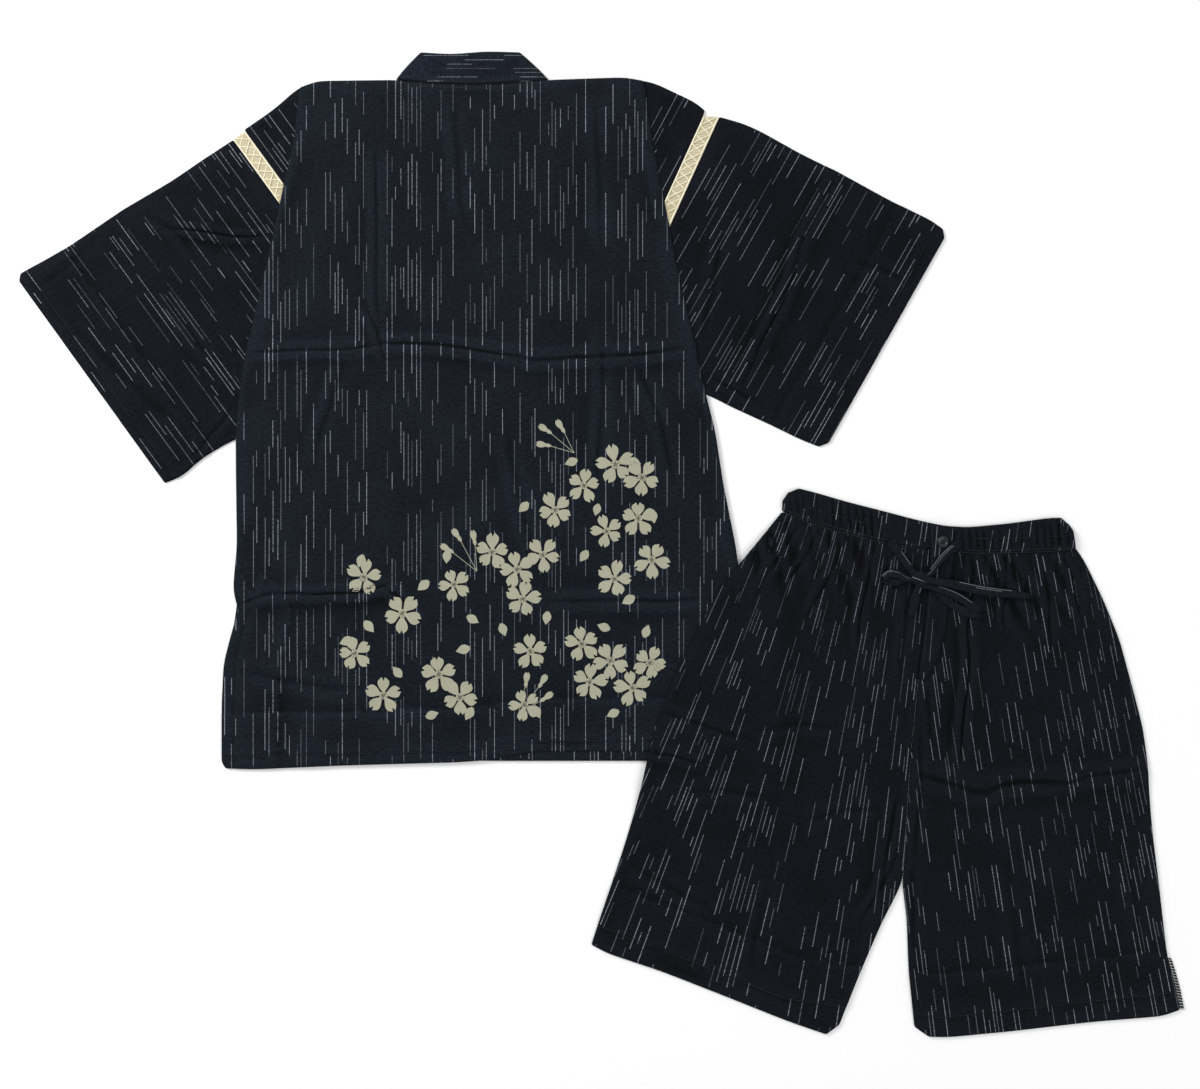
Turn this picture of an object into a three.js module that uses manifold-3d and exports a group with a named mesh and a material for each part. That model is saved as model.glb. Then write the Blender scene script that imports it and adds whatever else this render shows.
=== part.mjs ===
// A jinbei set laid out flat: a short wrap top, back side up, and drawstring
// shorts, front side up, whose right leg lies over the top's lower corner.
// Millimetres. X runs across the set, Y from hems to necks, Z up from the surface.
import * as THREE from "three";
import { mergeVertices } from "three/addons/utils/BufferGeometryUtils.js";
import Module from "manifold-3d";

const wasm = await Module();
wasm.setup();

// ---- driving sizes -------------------------------------------------------
const CLOTH = 1.2; // wall of every cloth piece
const GAP = 0.3; // air left between pieces that meet
const LAYER = CLOTH + GAP; // height of one layer in the pile
const LACE_WIDTH = 16; // insertion between body and sleeve
const COLLAR_WIDTH = 42; // collar band along the fronts
const NECK_DIP = 5; // hollow of the back neckline
const TIE = { width: 18, length: 215 }; // closing tapes of the top
const TAPE = { width: 10, thick: 1.4 }; // drawstring, a flat tube of the same cloth
const BUTTON = { radius: 6, height: 2.4, rim: 1.1, dish: 0.7 };
const RAMP = 32; // run over which a layer comes down beside an edge
const ROOM_INSET = 0.08; // how far a tube's inside stays from its side folds, of a column

// ---- colours -------------------------------------------------------------
const NAVY = 0x1e222a;
const ECRU = 0xcdc4a7;
const HORN = 0x14161a;

// ---- small maths ---------------------------------------------------------
const lerp = (a, b, t) => a + (b - a) * t;
const step = (a, b, x) => THREE.MathUtils.smoothstep(x, a, b);
const vec = (x, y) => new THREE.Vector2(x, y);

// Point at a fraction t of the length of a run of {x, y} rows.
function alongRun(run, t) {
  const spans = run.slice(1).map((p, i) => Math.hypot(p.x - run[i].x, p.y - run[i].y));
  const total = spans.reduce((sum, s) => sum + s, 0);
  let left = t * total;
  for (let i = 0; i < spans.length; i++) {
    if (left <= spans[i] || i === spans.length - 1) {
      const f = Math.min(1, left / spans[i]);
      return vec(lerp(run[i].x, run[i + 1].x, f), lerp(run[i].y, run[i + 1].y, f));
    }
    left -= spans[i];
  }
}

// Height of soft folds at a place: each row is a ridge from (x, y) to (toX, toY).
function foldLift(folds, x, y) {
  let lift = 0;
  for (const f of folds) {
    const dx = f.toX - f.x;
    const dy = f.toY - f.y;
    const t = THREE.MathUtils.clamp(((x - f.x) * dx + (y - f.y) * dy) / (dx * dx + dy * dy), 0, 1);
    const away = Math.hypot(x - f.x - t * dx, y - f.y - t * dy) / f.half;
    const fade = Math.sin(Math.PI * (0.12 + 0.76 * t));
    if (away < 1) lift = Math.max(lift, f.high * fade * (1 - away * away) ** 2);
  }
  return lift;
}

// Plan grid of a panel from its sections. A section runs from a left to a right
// point, straight or bowed along Y, or along a run of its own.
function planGrid(sections, columns) {
  return sections.map((s) => {
    const row = [];
    for (let j = 0; j <= columns; j++) {
      const t = j / columns;
      if (s.run) row.push(alongRun(s.run, t));
      else row.push(vec(lerp(s.lx, s.rx, t), lerp(s.ly, s.ry, t) + (s.bow ?? 0) * 4 * t * (1 - t)));
    }
    return row;
  });
}

// ---- solids --------------------------------------------------------------
function geometryOf(points, faces) {
  const geometry = new THREE.BufferGeometry();
  const flat = points.flatMap((p) => [p.x, p.y, p.z]);
  geometry.setAttribute("position", new THREE.Float32BufferAttribute(flat, 3));
  geometry.setIndex(faces.flat());
  return geometry;
}

// Quads between two rows of point numbers, as triangles; turned ones face down.
function stitchRows(faces, a, b, closed, turned = false) {
  const count = closed ? a.length : a.length - 1;
  for (let j = 0; j < count; j++) {
    const k = (j + 1) % a.length;
    if (turned) faces.push([a[j], b[k], b[j]], [a[j], a[k], b[k]]);
    else faces.push([a[j], b[j], b[k]], [a[j], b[k], a[k]]);
  }
}

// Volume with a sign, to turn a solid's faces outward.
function outward(geometry) {
  const p = geometry.getAttribute("position");
  const index = geometry.getIndex().array;
  const a = new THREE.Vector3();
  const b = new THREE.Vector3();
  const c = new THREE.Vector3();
  let volume = 0;
  for (let i = 0; i < index.length; i += 3) {
    a.fromBufferAttribute(p, index[i]);
    b.fromBufferAttribute(p, index[i + 1]);
    c.fromBufferAttribute(p, index[i + 2]);
    volume += a.dot(b.cross(c));
  }
  if (volume < 0) {
    for (let i = 0; i < index.length; i += 3) {
      [index[i], index[i + 1]] = [index[i + 1], index[i]];
    }
  }
  return geometry;
}

// A cloth wall: one thickness of cloth on a plan grid, lying at height under(x, y).
function wall(grid, under, thick = CLOTH) {
  const points = [];
  const faces = [];
  const layer = (lift) => grid.map((row) => row.map((p) => {
    points.push(new THREE.Vector3(p.x, p.y, under(p.x, p.y) + lift));
    return points.length - 1;
  }));
  const low = layer(0);
  const high = layer(thick);
  for (let i = 0; i + 1 < grid.length; i++) {
    stitchRows(faces, high[i], high[i + 1], false);
    stitchRows(faces, low[i], low[i + 1], false, true);
  }
  const rim = (rows) => [
    ...rows[0],
    ...rows.slice(1).map((row) => row[row.length - 1]),
    ...rows[rows.length - 1].slice(0, -1).reverse(),
    ...rows.slice(1, -1).map((row) => row[0]).reverse(),
  ];
  stitchRows(faces, rim(low), rim(high), true);
  return outward(geometryOf(points, faces));
}

// A flattened tube, open at its first and last row: an upper and a lower wall
// joined by a rounded fold at each side. over(x, y) is the top of the upper wall.
function flatTube(grid, under, over) {
  const points = [];
  const faces = [];
  const outer = [];
  const inner = [];
  const put = (p, z) => points.push(new THREE.Vector3(p.x, p.y, z)) - 1;
  for (const row of grid) {
    const last = row.length - 1;
    const inset = CLOTH / row[0].distanceTo(row[last]);
    const place = [...row];
    place[0] = row[0].clone().lerp(row[last], inset);
    place[last] = row[0].clone().lerp(row[last], 1 - inset);
    const half = (p) => (under(p.x, p.y) + over(p.x, p.y)) / 2;
    const slot = (p) => Math.max(GAP / 2, (over(p.x, p.y) - under(p.x, p.y)) / 2 - CLOTH);
    const ringOut = [put(row[0], half(row[0]))];
    const ringIn = [put(place[0], half(place[0]))];
    place.forEach((p) => {
      ringOut.push(put(p, over(p.x, p.y)));
    });
    ringOut.push(put(row[last], half(row[last])));
    [...place].reverse().forEach((p) => {
      ringOut.push(put(p, under(p.x, p.y)));
    });
    const room = [...place];
    room[0] = place[0].clone().lerp(row[1], ROOM_INSET);
    room[last] = place[last].clone().lerp(row[last - 1], ROOM_INSET);
    room.forEach((p) => {
      ringIn.push(put(p, half(p) + slot(p)));
    });
    ringIn.push(put(place[last], half(place[last])));
    [...room].reverse().forEach((p) => {
      ringIn.push(put(p, half(p) - slot(p)));
    });
    outer.push(ringOut);
    inner.push(ringIn);
  }
  for (let i = 0; i + 1 < grid.length; i++) {
    stitchRows(faces, outer[i], outer[i + 1], true);
    stitchRows(faces, inner[i], inner[i + 1], true, true);
  }
  stitchRows(faces, inner[0], outer[0], true);
  stitchRows(faces, outer[outer.length - 1], inner[inner.length - 1], true);
  return outward(geometryOf(points, faces));
}

// A flat tape along a smooth route. Each row of the route has a place and the
// compass direction, in degrees, of the tape's width.
function tape(route, steps) {
  const curve = new THREE.CatmullRomCurve3(route.map((r) => new THREE.Vector3(r.x, r.y, r.z)));
  const points = [];
  const faces = [];
  const rings = [];
  const w = TAPE.width / 2;
  const h = TAPE.thick / 2;
  const section = [
    { s: -w, n: -h * 0.4 }, { s: -w * 0.9, n: -h }, { s: w * 0.9, n: -h }, { s: w, n: -h * 0.4 },
    { s: w, n: h * 0.4 }, { s: w * 0.9, n: h }, { s: -w * 0.9, n: h }, { s: -w, n: h * 0.4 },
  ];
  for (let i = 0; i <= steps; i++) {
    const t = i / steps;
    const at = t * (route.length - 1);
    const k = Math.min(route.length - 2, Math.floor(at));
    const angle = THREE.MathUtils.degToRad(lerp(route[k].side, route[k + 1].side, at - k));
    const side = new THREE.Vector3(Math.cos(angle), Math.sin(angle), 0);
    const ahead = curve.getTangent(t);
    const normal = new THREE.Vector3().crossVectors(ahead, side).normalize();
    const centre = curve.getPoint(t);
    rings.push(section.map((q) => points.push(
      centre.clone().addScaledVector(side, q.s).addScaledVector(normal, q.n),
    ) - 1));
  }
  for (let i = 0; i < steps; i++) stitchRows(faces, rings[i], rings[i + 1], true);
  const first = rings[0];
  const last = rings[steps];
  for (let j = 1; j + 1 < first.length; j++) {
    faces.push([first[0], first[j], first[j + 1]], [last[0], last[j + 1], last[j]]);
  }
  return outward(geometryOf(points, faces));
}

// Joins walls that are one piece of cloth.
function join(...geometries) {
  const solids = geometries.map((geometry) => {
    const bare = new THREE.BufferGeometry();
    bare.setAttribute("position", geometry.getAttribute("position"));
    bare.setIndex(geometry.getIndex());
    const merged = mergeVertices(bare, 1e-4);
    const vertProperties = new Float32Array(merged.getAttribute("position").array);
    const triVerts = new Uint32Array(merged.getIndex().array);
    return new wasm.Manifold(new wasm.Mesh({ numProp: 3, vertProperties, triVerts }));
  });
  const whole = solids.reduce((sum, solid) => sum.add(solid));
  const mesh = whole.getMesh();
  const geometry = new THREE.BufferGeometry();
  geometry.setAttribute("position", new THREE.BufferAttribute(mesh.vertProperties, 3));
  geometry.setIndex(new THREE.BufferAttribute(mesh.triVerts, 1));
  return geometry;
}

// ---- the set -------------------------------------------------------------
const set = new THREE.Group();
const cloth = { color: NAVY, roughness: 0.92, metalness: 0 };

function add(name, geometry, look = cloth) {
  geometry.computeVertexNormals();
  const mesh = new THREE.Mesh(geometry, new THREE.MeshStandardMaterial(look));
  mesh.name = name;
  set.add(mesh);
  return mesh;
}

const level = (height) => () => height;

// ---- top: armholes, sleeves and lace -------------------------------------
// Each armhole has its own directions: down the seam from the shoulder, and out
// along the sleeve.
function armhole(x, y, downX, downY, outSign) {
  const down = vec(downX, downY).normalize();
  const out = vec(-down.y * outSign, down.x * outSign);
  const at = (away, depth) => vec(x, y).addScaledVector(out, away).addScaledVector(down, depth);
  return { at };
}

const armLeft = armhole(-371, 434, 40, -55, -1);
const armRight = armhole(109, 449, -40, -88, 1);

// Sleeve sections from the lace to the cuff: distance out and depth down the
// seam, at the shoulder fold and at the underarm fold.
const sleeveLeftSections = [
  { outTop: 16.3, top: 0, outLow: 16.3, low: 258 },
  { outTop: 55, top: -2, outLow: 55, low: 258 },
  { outTop: 93, top: -3, outLow: 93, low: 257 },
  { outTop: 124, top: -6, outLow: 124, low: 256 },
  { outTop: 153, top: -9, outLow: 153, low: 256 },
  { outTop: 190, top: -10, outLow: 190, low: 257 },
  { outTop: 221, top: -11, outLow: 215, low: 253 },
  { outTop: 250, top: -14, outLow: 240, low: 251 },
  { outTop: 279, top: -18, outLow: 268, low: 254 },
  { outTop: 285, top: -12, outLow: 286, low: 249 },
];
const sleeveRightSections = [
  { outTop: 16.3, top: -7, outLow: 16.3, low: 262 },
  { outTop: 42, top: -11, outLow: 42, low: 262 },
  { outTop: 62, top: -11, outLow: 62, low: 263 },
  { outTop: 108, top: -7, outLow: 100, low: 264 },
  { outTop: 138, top: -6, outLow: 138, low: 264 },
  { outTop: 151, top: -6, outLow: 151, low: 265 },
  { outTop: 164, top: -5, outLow: 164, low: 265 },
  { outTop: 217, top: -1, outLow: 200, low: 265 },
  { outTop: 262, top: 0, outLow: 232, low: 266 },
  { outTop: 278, top: 3, outLow: 254, low: 265 },
  { outTop: 283.5, top: 11, outLow: 262, low: 257 },
];
const sleeveRightFolds = [
  { x: 250, y: 389, toX: 150, toY: 170, high: 2.6, half: 12 },
];
const sleeveLeftFolds = [
  { x: -452, y: 336, toX: -362, toY: 327, high: 1.8, half: 16 },
];

function sleeveGrid(arm, sections, columns) {
  return sections.map((s) => {
    const from = arm.at(s.outTop, s.top);
    const to = arm.at(s.outLow, s.low);
    return Array.from({ length: columns + 1 }, (_, j) => from.clone().lerp(to, j / columns));
  });
}

const SLEEVE_TOP = 2 * CLOTH + GAP;

function makeSleeve(name, arm, sections, folds) {
  const over = (x, y) => SLEEVE_TOP + foldLift(folds, x, y);
  add(name, flatTube(sleeveGrid(arm, sections, 9), level(0), over));
}

makeSleeve("sleeve_left", armLeft, sleeveLeftSections, sleeveLeftFolds);
makeSleeve("sleeve_right", armRight, sleeveRightSections, sleeveRightFolds);

// Lace insertion, a narrow flat tube round each armhole.
function makeLace(name, arm, depth, rise) {
  const sections = [GAP, LACE_WIDTH / 2, LACE_WIDTH].map((away) => ({
    outTop: away, top: rise * (away / LACE_WIDTH), outLow: away, low: depth,
  }));
  const look = { color: ECRU, roughness: 0.85, metalness: 0 };
  add(name, flatTube(sleeveGrid(arm, sections, 8), level(0), level(SLEEVE_TOP)), look);
}

makeLace("lace_left", armLeft, 258, 0);
makeLace("lace_right", armRight, 262, -7);

// ---- top: back -----------------------------------------------------------
// The neckline dips between the two neck points.
const NECK = { left: -213, right: -53, y: 487 };
const neckDip = (x) => {
  const t = THREE.MathUtils.clamp((x - NECK.left) / (NECK.right - NECK.left), 0, 1);
  return NECK_DIP * Math.sin(Math.PI * t);
};
const neckRun = (from, to, count, raise) => Array.from({ length: count + 1 }, (_, i) => {
  const x = lerp(from, to, i / count);
  return { x, y: NECK.y - neckDip(x) + raise };
});

const backTop = [
  { x: -314, y: 479 }, { x: -307, y: 484 }, { x: -297, y: 486 },
  ...neckRun(NECK.left, NECK.right, 8, 0),
  { x: 1, y: 489 }, { x: 42, y: 490 }, { x: 47, y: 486 },
];
const backHem = [
  { x: -392, y: -235 }, { x: -361, y: -236 }, { x: -274, y: -232 }, { x: -206, y: -230 },
  { x: -130, y: -228 }, { x: -98, y: -223 }, { x: -60, y: -217 }, { x: 54, y: -217 }, { x: 150, y: -217 },
];
// Sections of the back from shoulders to hem, its side folds left and right.
const backSections = [
  { run: backTop },
  { lx: -317, ly: 452, rx: 51, ry: 462 },
  { lx: -320, ly: 423, rx: 54, ry: 439 },
  { lx: -332, ly: 371, rx: 62, ry: 392 },
  { lx: -342, ly: 322, rx: 73, ry: 338 },
  { lx: -356, ly: 262, rx: 87, ry: 268 },
  { lx: -364, ly: 230, rx: 95, ry: 236 },
  { lx: -368, ly: 212, rx: 101, ry: 212 },
  { lx: -371, ly: 200, rx: 104, ry: 197 },
  { lx: -376, ly: 169, rx: 110, ry: 166 },
  { lx: -381, ly: 117, rx: 122, ry: 118 },
  { lx: -381, ly: 73, rx: 130, ry: 65 },
  { lx: -380, ly: 0, rx: 143, ry: 0 },
  { lx: -384, ly: -45, rx: 149, ry: -42 },
  { lx: -382, ly: -57, rx: 150, ry: -54 },
  { lx: -378, ly: -69, rx: 151, ry: -66 },
  { lx: -385, ly: -90, rx: 152, ry: -86 },
  { lx: -394, ly: -125, rx: 152, ry: -118 },
  { lx: -396, ly: -167, rx: 151, ry: -160 },
  { lx: -396, ly: -228, rx: 150, ry: -208 },
  { run: backHem },
];
// Packing folds of the back: across the waist, across the hip, and down the panel.
const backFolds = [
  { x: -366, y: 206, toX: -150, toY: 199, high: 1.6, half: 18 },
  { x: -180, y: 199, toX: 96, toY: 210, high: 1.8, half: 18 },
  { x: -380, y: -60, toX: -205, toY: -40, high: 2.2, half: 16 },
  { x: -150, y: -58, toX: 60, toY: -56, high: 1.2, half: 16 },
  { x: -230, y: 413, toX: -231, toY: 214, high: 1.4, half: 16 },
  { x: 1, y: 400, toX: 3, toY: 60, high: 1.2, half: 16 },
];
const backFloor = (x, y) => {
  const pile = Math.max(step(-346, -346 + RAMP, x), step(62, 62 + RAMP, y));
  return LAYER + LAYER * pile;
};
const backUnder = (x, y) => backFloor(x, y) + foldLift(backFolds, x, y);
const backPanel = wall(planGrid(backSections, 18), backUnder);

// Each side of the back is pleated under itself from the shoulder down, so that a
// wing of it shows beyond the fold and reaches the lace. Rows go down the armhole:
// depth along the seam, and how far the wing runs in from it.
function backWing(arm, rows, shoulder) {
  const sections = rows.map((r) => {
    const seam = arm.at(0, r.depth);
    return { lx: seam.x, ly: seam.y, rx: r.inX, ry: r.inY };
  });
  return wall(planGrid([shoulder, ...sections], 6), level(LAYER));
}

// The inner fold of a wing, where it turns up into the back.
function standingWall(x, y, toX, toY, low, high) {
  const across = vec(toX - x, toY - y).normalize();
  const aside = vec(-across.y, across.x).multiplyScalar(CLOTH / 2);
  const grid = [
    [vec(x, y).sub(aside), vec(x, y).add(aside)],
    [vec(toX, toY).sub(aside), vec(toX, toY).add(aside)],
  ];
  return wall(grid, level(low), high - low);
}

const FOLD_TOP = 2 * LAYER + CLOTH / 2;
const wingLeft = backWing(
  armLeft,
  [
    { depth: 0, inX: -300, inY: 474 },
    { depth: 60, inX: -282, inY: 415 },
    { depth: 130, inX: -260, inY: 348 },
    { depth: 190, inX: -240, inY: 288 },
    { depth: 236, inX: -226, inY: 248 },
  ],
  { run: [{ x: -372, y: 435 }, { x: -340, y: 457 }, { x: -316, y: 479 }, { x: -301, y: 484 }] },
);
const wingRight = backWing(
  armRight,
  [
    { depth: 0, inX: 38, inY: 478 },
    { depth: 60, inX: 34, inY: 420 },
    { depth: 130, inX: 27, inY: 345 },
    { depth: 190, inX: 16, inY: 287 },
    { depth: 225, inX: 8, inY: 254 },
  ],
  { run: [{ x: 111, y: 455 }, { x: 105, y: 462 }, { x: 81, y: 473 }, { x: 57, y: 485 }, { x: 40, y: 487 }] },
);
const foldLeft = standingWall(-300, 470, -228, 254, LAYER + GAP, FOLD_TOP);
const foldRight = standingWall(38, 474, 9, 258, LAYER + GAP, FOLD_TOP);
add("back", join(backPanel, foldLeft, wingLeft, foldRight, wingRight));

// ---- top: fronts ---------------------------------------------------------
// Opening edges of the two fronts, from the neck point to the collar's end and hem.
const openingLeft = [
  { x: -213, y: 486.7 }, { x: -180, y: 425 }, { x: -146, y: 355 }, { x: -110, y: 280 },
  { x: -75, y: 205 }, { x: -38, y: 130 }, { x: -10, y: 70 }, { x: 8, y: 20 },
];
const INNER_LEAN = 0.9; // the inner front's opening leans a little less
const openingRight = openingLeft.map((p) => ({
  x: NECK.right - INNER_LEAN * (p.x - NECK.left),
  y: p.y,
}));
const UNDERARM = 271; // depth of the armhole where the side seam starts
const seamPoint = (arm, depth) => arm.at(-GAP, depth);

function frontSections(arm, shoulder, opening, side, hem, flip) {
  const depths = [30, 90, 150, 215, UNDERARM];
  const upper = depths.map((depth, i) => ({ edge: seamPoint(arm, depth), middle: opening[i + 1] }));
  const rows = [...upper, ...side];
  const sections = rows.map((r) => (flip
    ? { lx: r.middle.x, ly: r.middle.y, rx: r.edge.x, ry: r.edge.y }
    : { lx: r.edge.x, ly: r.edge.y, rx: r.middle.x, ry: r.middle.y }));
  return [{ run: shoulder }, ...sections, { run: hem }];
}

const sideLeft = [
  { edge: vec(-376, 104), middle: vec(-10, 70) },
  { edge: vec(-380, 60), middle: vec(8, 20) },
  { edge: vec(-380, 0), middle: vec(14, -30) },
  { edge: vec(-380, -62), middle: vec(24, -85) },
  { edge: vec(-388, -115), middle: vec(33, -130) },
  { edge: vec(-393, -170), middle: vec(42, -180) },
];
const sideRight = [
  { edge: vec(108, 152), middle: vec(-235.7, 70) },
  { edge: vec(124, 90), middle: vec(-251.9, 20) },
  { edge: vec(142, 0), middle: vec(-254, -30) },
  { edge: vec(149, -62), middle: vec(-255, -85) },
  { edge: vec(150, -115), middle: vec(-255, -130) },
  { edge: vec(149, -170), middle: vec(-254, -180) },
];
const frontLeft = frontSections(
  armLeft,
  [seamPoint(armLeft, 0), vec(-340, 456), vec(-316, 478), vec(-299, 485), vec(-213, 486.7)],
  openingLeft,
  sideLeft,
  [vec(-391, -231), vec(-200, -227), vec(48, -227)],
  false,
);
const frontRight = frontSections(
  armRight,
  [vec(-53, 486.7), vec(40, 488), vec(57, 484), vec(81, 472), vec(104, 461), seamPoint(armRight, 0)],
  openingRight,
  sideRight,
  [vec(-253, -226), vec(-100, -227), vec(149, -227)],
  true,
);
add("front_left", wall(planGrid(frontLeft, 7), level(0)));

// The right front lies inside the left one, so it is a layer up, and comes down to
// the surface at its own shoulder, where the wing of the back lies on it.
const wingFoldX = (y) => lerp(8, 38, (y - 254) / (478 - 254));
const innerFloor = (x, y) => {
  const shoulder = step(0, 24, x - wingFoldX(y) + 27) * step(222, 246, y);
  return LAYER * (1 - shoulder);
};
add("front_right", wall(planGrid(frontRight, 8), innerFloor));

// ---- top: collar ---------------------------------------------------------
// One band: it shows behind the neck, turns under at both neck points and runs
// down each opening edge.
const COLLAR_RISE = 30;
const collarBack = [
  { run: neckRun(NECK.left, NECK.right, 10, GAP) },
  { lx: -203, ly: 500, rx: -65, ry: 500 },
  { run: [{ x: -187, y: 516 }, { x: -155, y: 514 }, { x: -119, y: 517 }, { x: -83, y: 516 }] },
];

function collarStretch(opening, side, top) {
  const rows = opening.slice(1).map((p, i) => {
    const before = opening[i];
    const run = vec(p.x - before.x, p.y - before.y).normalize();
    const beside = vec(-run.y * side, run.x * side);
    const near = vec(p.x, p.y).addScaledVector(beside, GAP);
    const far = vec(p.x, p.y).addScaledVector(beside, COLLAR_WIDTH);
    return { lx: near.x, ly: near.y, rx: far.x, ry: far.y };
  });
  return [top, ...rows];
}

const collarLeft = collarStretch(
  openingLeft, 1, { lx: -212.4, ly: 487.3, rx: -187, ry: 487 + COLLAR_RISE },
);
const collarRight = collarStretch(
  openingRight, -1, { lx: -53.6, ly: 487.3, rx: -80, ry: 487 + COLLAR_RISE },
);
const neckTop = 2 * LAYER + CLOTH;
add("collar", join(
  wall(planGrid(collarBack, 12), level(2 * LAYER)),
  standingWall(-211.6, 488.4, -187, 515, CLOTH / 2, neckTop - CLOTH / 2),
  wall(planGrid(collarLeft, 3), level(0)),
  standingWall(-54.6, 488.4, -83, 515, LAYER + CLOTH / 2, neckTop - CLOTH / 2),
  wall(planGrid(collarRight, 3), level(LAYER)),
));

// ---- top: closing ties ---------------------------------------------------
// The outer pair, between the cloth and the surface: one from the left front's
// collar end, one from the right side seam.
function makeTie(name, x, y, leanX) {
  const grid = [0, 0.25, 0.5, 0.75, 1].map((t) => {
    const mid = vec(x + leanX * t, y - TIE.length * t);
    return [vec(mid.x - TIE.width / 2, mid.y), vec(mid.x + TIE.width / 2, mid.y)];
  });
  add(name, wall(grid, level(0)));
}

makeTie("tie_front", 66, 12, 8);
makeTie("tie_side", 126, 14, 4);

// ---- shorts: panels ------------------------------------------------------
// The top under the shorts ends at its side and hem; the shorts come down to the
// surface over a run beyond them.
const TOP_PILE = 3 * LAYER + GAP;
const topSide = (y) => (y > 0 ? 143 - 0.19 * y : 152);
const TOP_HEM = -229;
const CLEAR = 20; // the shorts stay up this far past the top's edges
const shortsFloor = (x, y) => {
  const besideIt = Math.max(0, x - topSide(y) - CLEAR);
  const belowIt = Math.max(0, TOP_HEM - CLEAR - y);
  const away = Math.hypot(besideIt, belowIt);
  return TOP_PILE * (1 - step(0, RAMP, away));
};

const waistSeam = [
  { x: 192, y: 35 }, { x: 221, y: 23 }, { x: 256, y: 13 }, { x: 288, y: 5 }, { x: 310, y: 0 },
  { x: 348, y: -5 }, { x: 397, y: -9 }, { x: 442, y: -8 }, { x: 488, y: -6 }, { x: 500, y: -3 },
];
const seamPart = (from, to) => waistSeam.slice(from, to).map((p) => ({ x: p.x, y: p.y - 3 * GAP }));

// The middle seam of the shorts, from below the waistband to the crotch.
const middleSeam = [
  { x: 347.9, y: -34 }, { x: 344.3, y: -68 }, { x: 339.9, y: -104 }, { x: 334.3, y: -148 },
  { x: 329.3, y: -198 }, { x: 326.2, y: -228 }, { x: 324.8, y: -250 }, { x: 323.6, y: -272 },
  { x: 322.1, y: -300 }, { x: 320.7, y: -328 }, { x: 318, y: -355.5 },
];
// Side seams of the legs, a place for each place of the middle seam.
const rightSide = [
  { x: 173, y: 11 }, { x: 148, y: -19 }, { x: 122, y: -53 }, { x: 100, y: -96 }, { x: 79, y: -139 },
  { x: 66, y: -172 }, { x: 57, y: -200 }, { x: 51, y: -222 }, { x: 45, y: -250 },
  { x: 36, y: -285 }, { x: 26, y: -318 },
];
const leftSide = [
  { x: 509, y: -17 }, { x: 529, y: -58 }, { x: 546, y: -100 }, { x: 559, y: -148 },
  { x: 570, y: -190 }, { x: 574, y: -217 }, { x: 576, y: -237 }, { x: 577, y: -257 },
  { x: 579.5, y: -290 }, { x: 583, y: -322 }, { x: 586, y: -345 },
];
// Sections of each leg from the waist seam to the hem: outer side, then inner side.
const rightLeg = [
  ...rightSide.map((p, i) => ({ outX: p.x, outY: p.y, inX: middleSeam[i].x - GAP, inY: middleSeam[i].y })),
  { outX: 14, outY: -354, inX: 296, inY: -398 },
  { outX: -1, outY: -398, inX: 271, inY: -456 },
];
const leftLeg = [
  ...leftSide.map((p, i) => ({ outX: p.x, outY: p.y, inX: middleSeam[i].x + GAP, inY: middleSeam[i].y })),
  { outX: 590, outY: -380, inX: 323, inY: -392 },
  { outX: 596, outY: -432, inX: 325, inY: -447 },
];
const rightHem = [
  { x: -8, y: -420 }, { x: 0, y: -426 }, { x: 66, y: -448 }, { x: 130, y: -473 },
  { x: 195, y: -499 }, { x: 238, y: -514 }, { x: 248, y: -514 }, { x: 252, y: -504 },
];
const leftHem = [
  { x: 331, y: -506 }, { x: 336, y: -515 }, { x: 356, y: -518 }, { x: 430, y: -511 },
  { x: 516, y: -501 }, { x: 602, y: -494 }, { x: 610, y: -488 },
];
const legSections = (rows, waist, hem, flip) => [
  { run: waist },
  ...rows.map((r) => (flip
    ? { lx: r.inX, ly: r.inY, rx: r.outX, ry: r.outY }
    : { lx: r.outX, ly: r.outY, rx: r.inX, ry: r.inY })),
  { run: hem },
];
const waistRight = [...seamPart(0, 5), { x: 347.7, y: -5.3 }];
const waistLeft = [{ x: 348.3, y: -5.3 }, ...seamPart(6, 10)];
const rightSections = legSections(rightLeg, waistRight, rightHem, false);
const leftSections = legSections(leftLeg, waistLeft, leftHem, true);

// Folds of the legs: gathers below the waistband, the long creases beside the bow
// and the packing folds across the thigh.
const legFolds = [
  { x: 212, y: 20, toX: 168, toY: -42, high: 1.4, half: 13 },
  { x: 246, y: 12, toX: 214, toY: -58, high: 1.7, half: 13 },
  { x: 289, y: 2, toX: 272, toY: -98, high: 2.2, half: 14 },
  { x: 318, y: -30, toX: 306, toY: -90, high: 1.2, half: 12 },
  { x: 398, y: -30, toX: 378, toY: -222, high: 2.8, half: 15 },
  { x: 424, y: -12, toX: 414, toY: -78, high: 1.5, half: 12 },
  { x: 454, y: -12, toX: 456, toY: -92, high: 1.6, half: 12 },
  { x: 484, y: -12, toX: 498, toY: -96, high: 1.5, half: 12 },
  { x: 330, y: -230, toX: 432, toY: -256, high: 2.0, half: 17 },
  { x: 420, y: -256, toX: 572, toY: -236, high: 2.4, half: 17 },
  { x: 66, y: -196, toX: 230, toY: -222, high: 1.8, half: 17 },
  { x: 58, y: -268, toX: 290, toY: -300, high: 1.2, half: 20 },
];
const shortsUnder = (layer) => (x, y) => shortsFloor(x, y) + layer * LAYER;
const shortsFront = (x, y) => shortsUnder(1)(x, y) + foldLift(legFolds, x, y);
add("shorts_back_right", wall(planGrid(rightSections, 14), shortsUnder(0)));
add("shorts_back_left", wall(planGrid(leftSections, 7), shortsUnder(0)));
add("shorts_front_right", wall(planGrid(rightSections, 14), shortsFront));
add("shorts_front_left", wall(planGrid(leftSections, 14), shortsFront));

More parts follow.
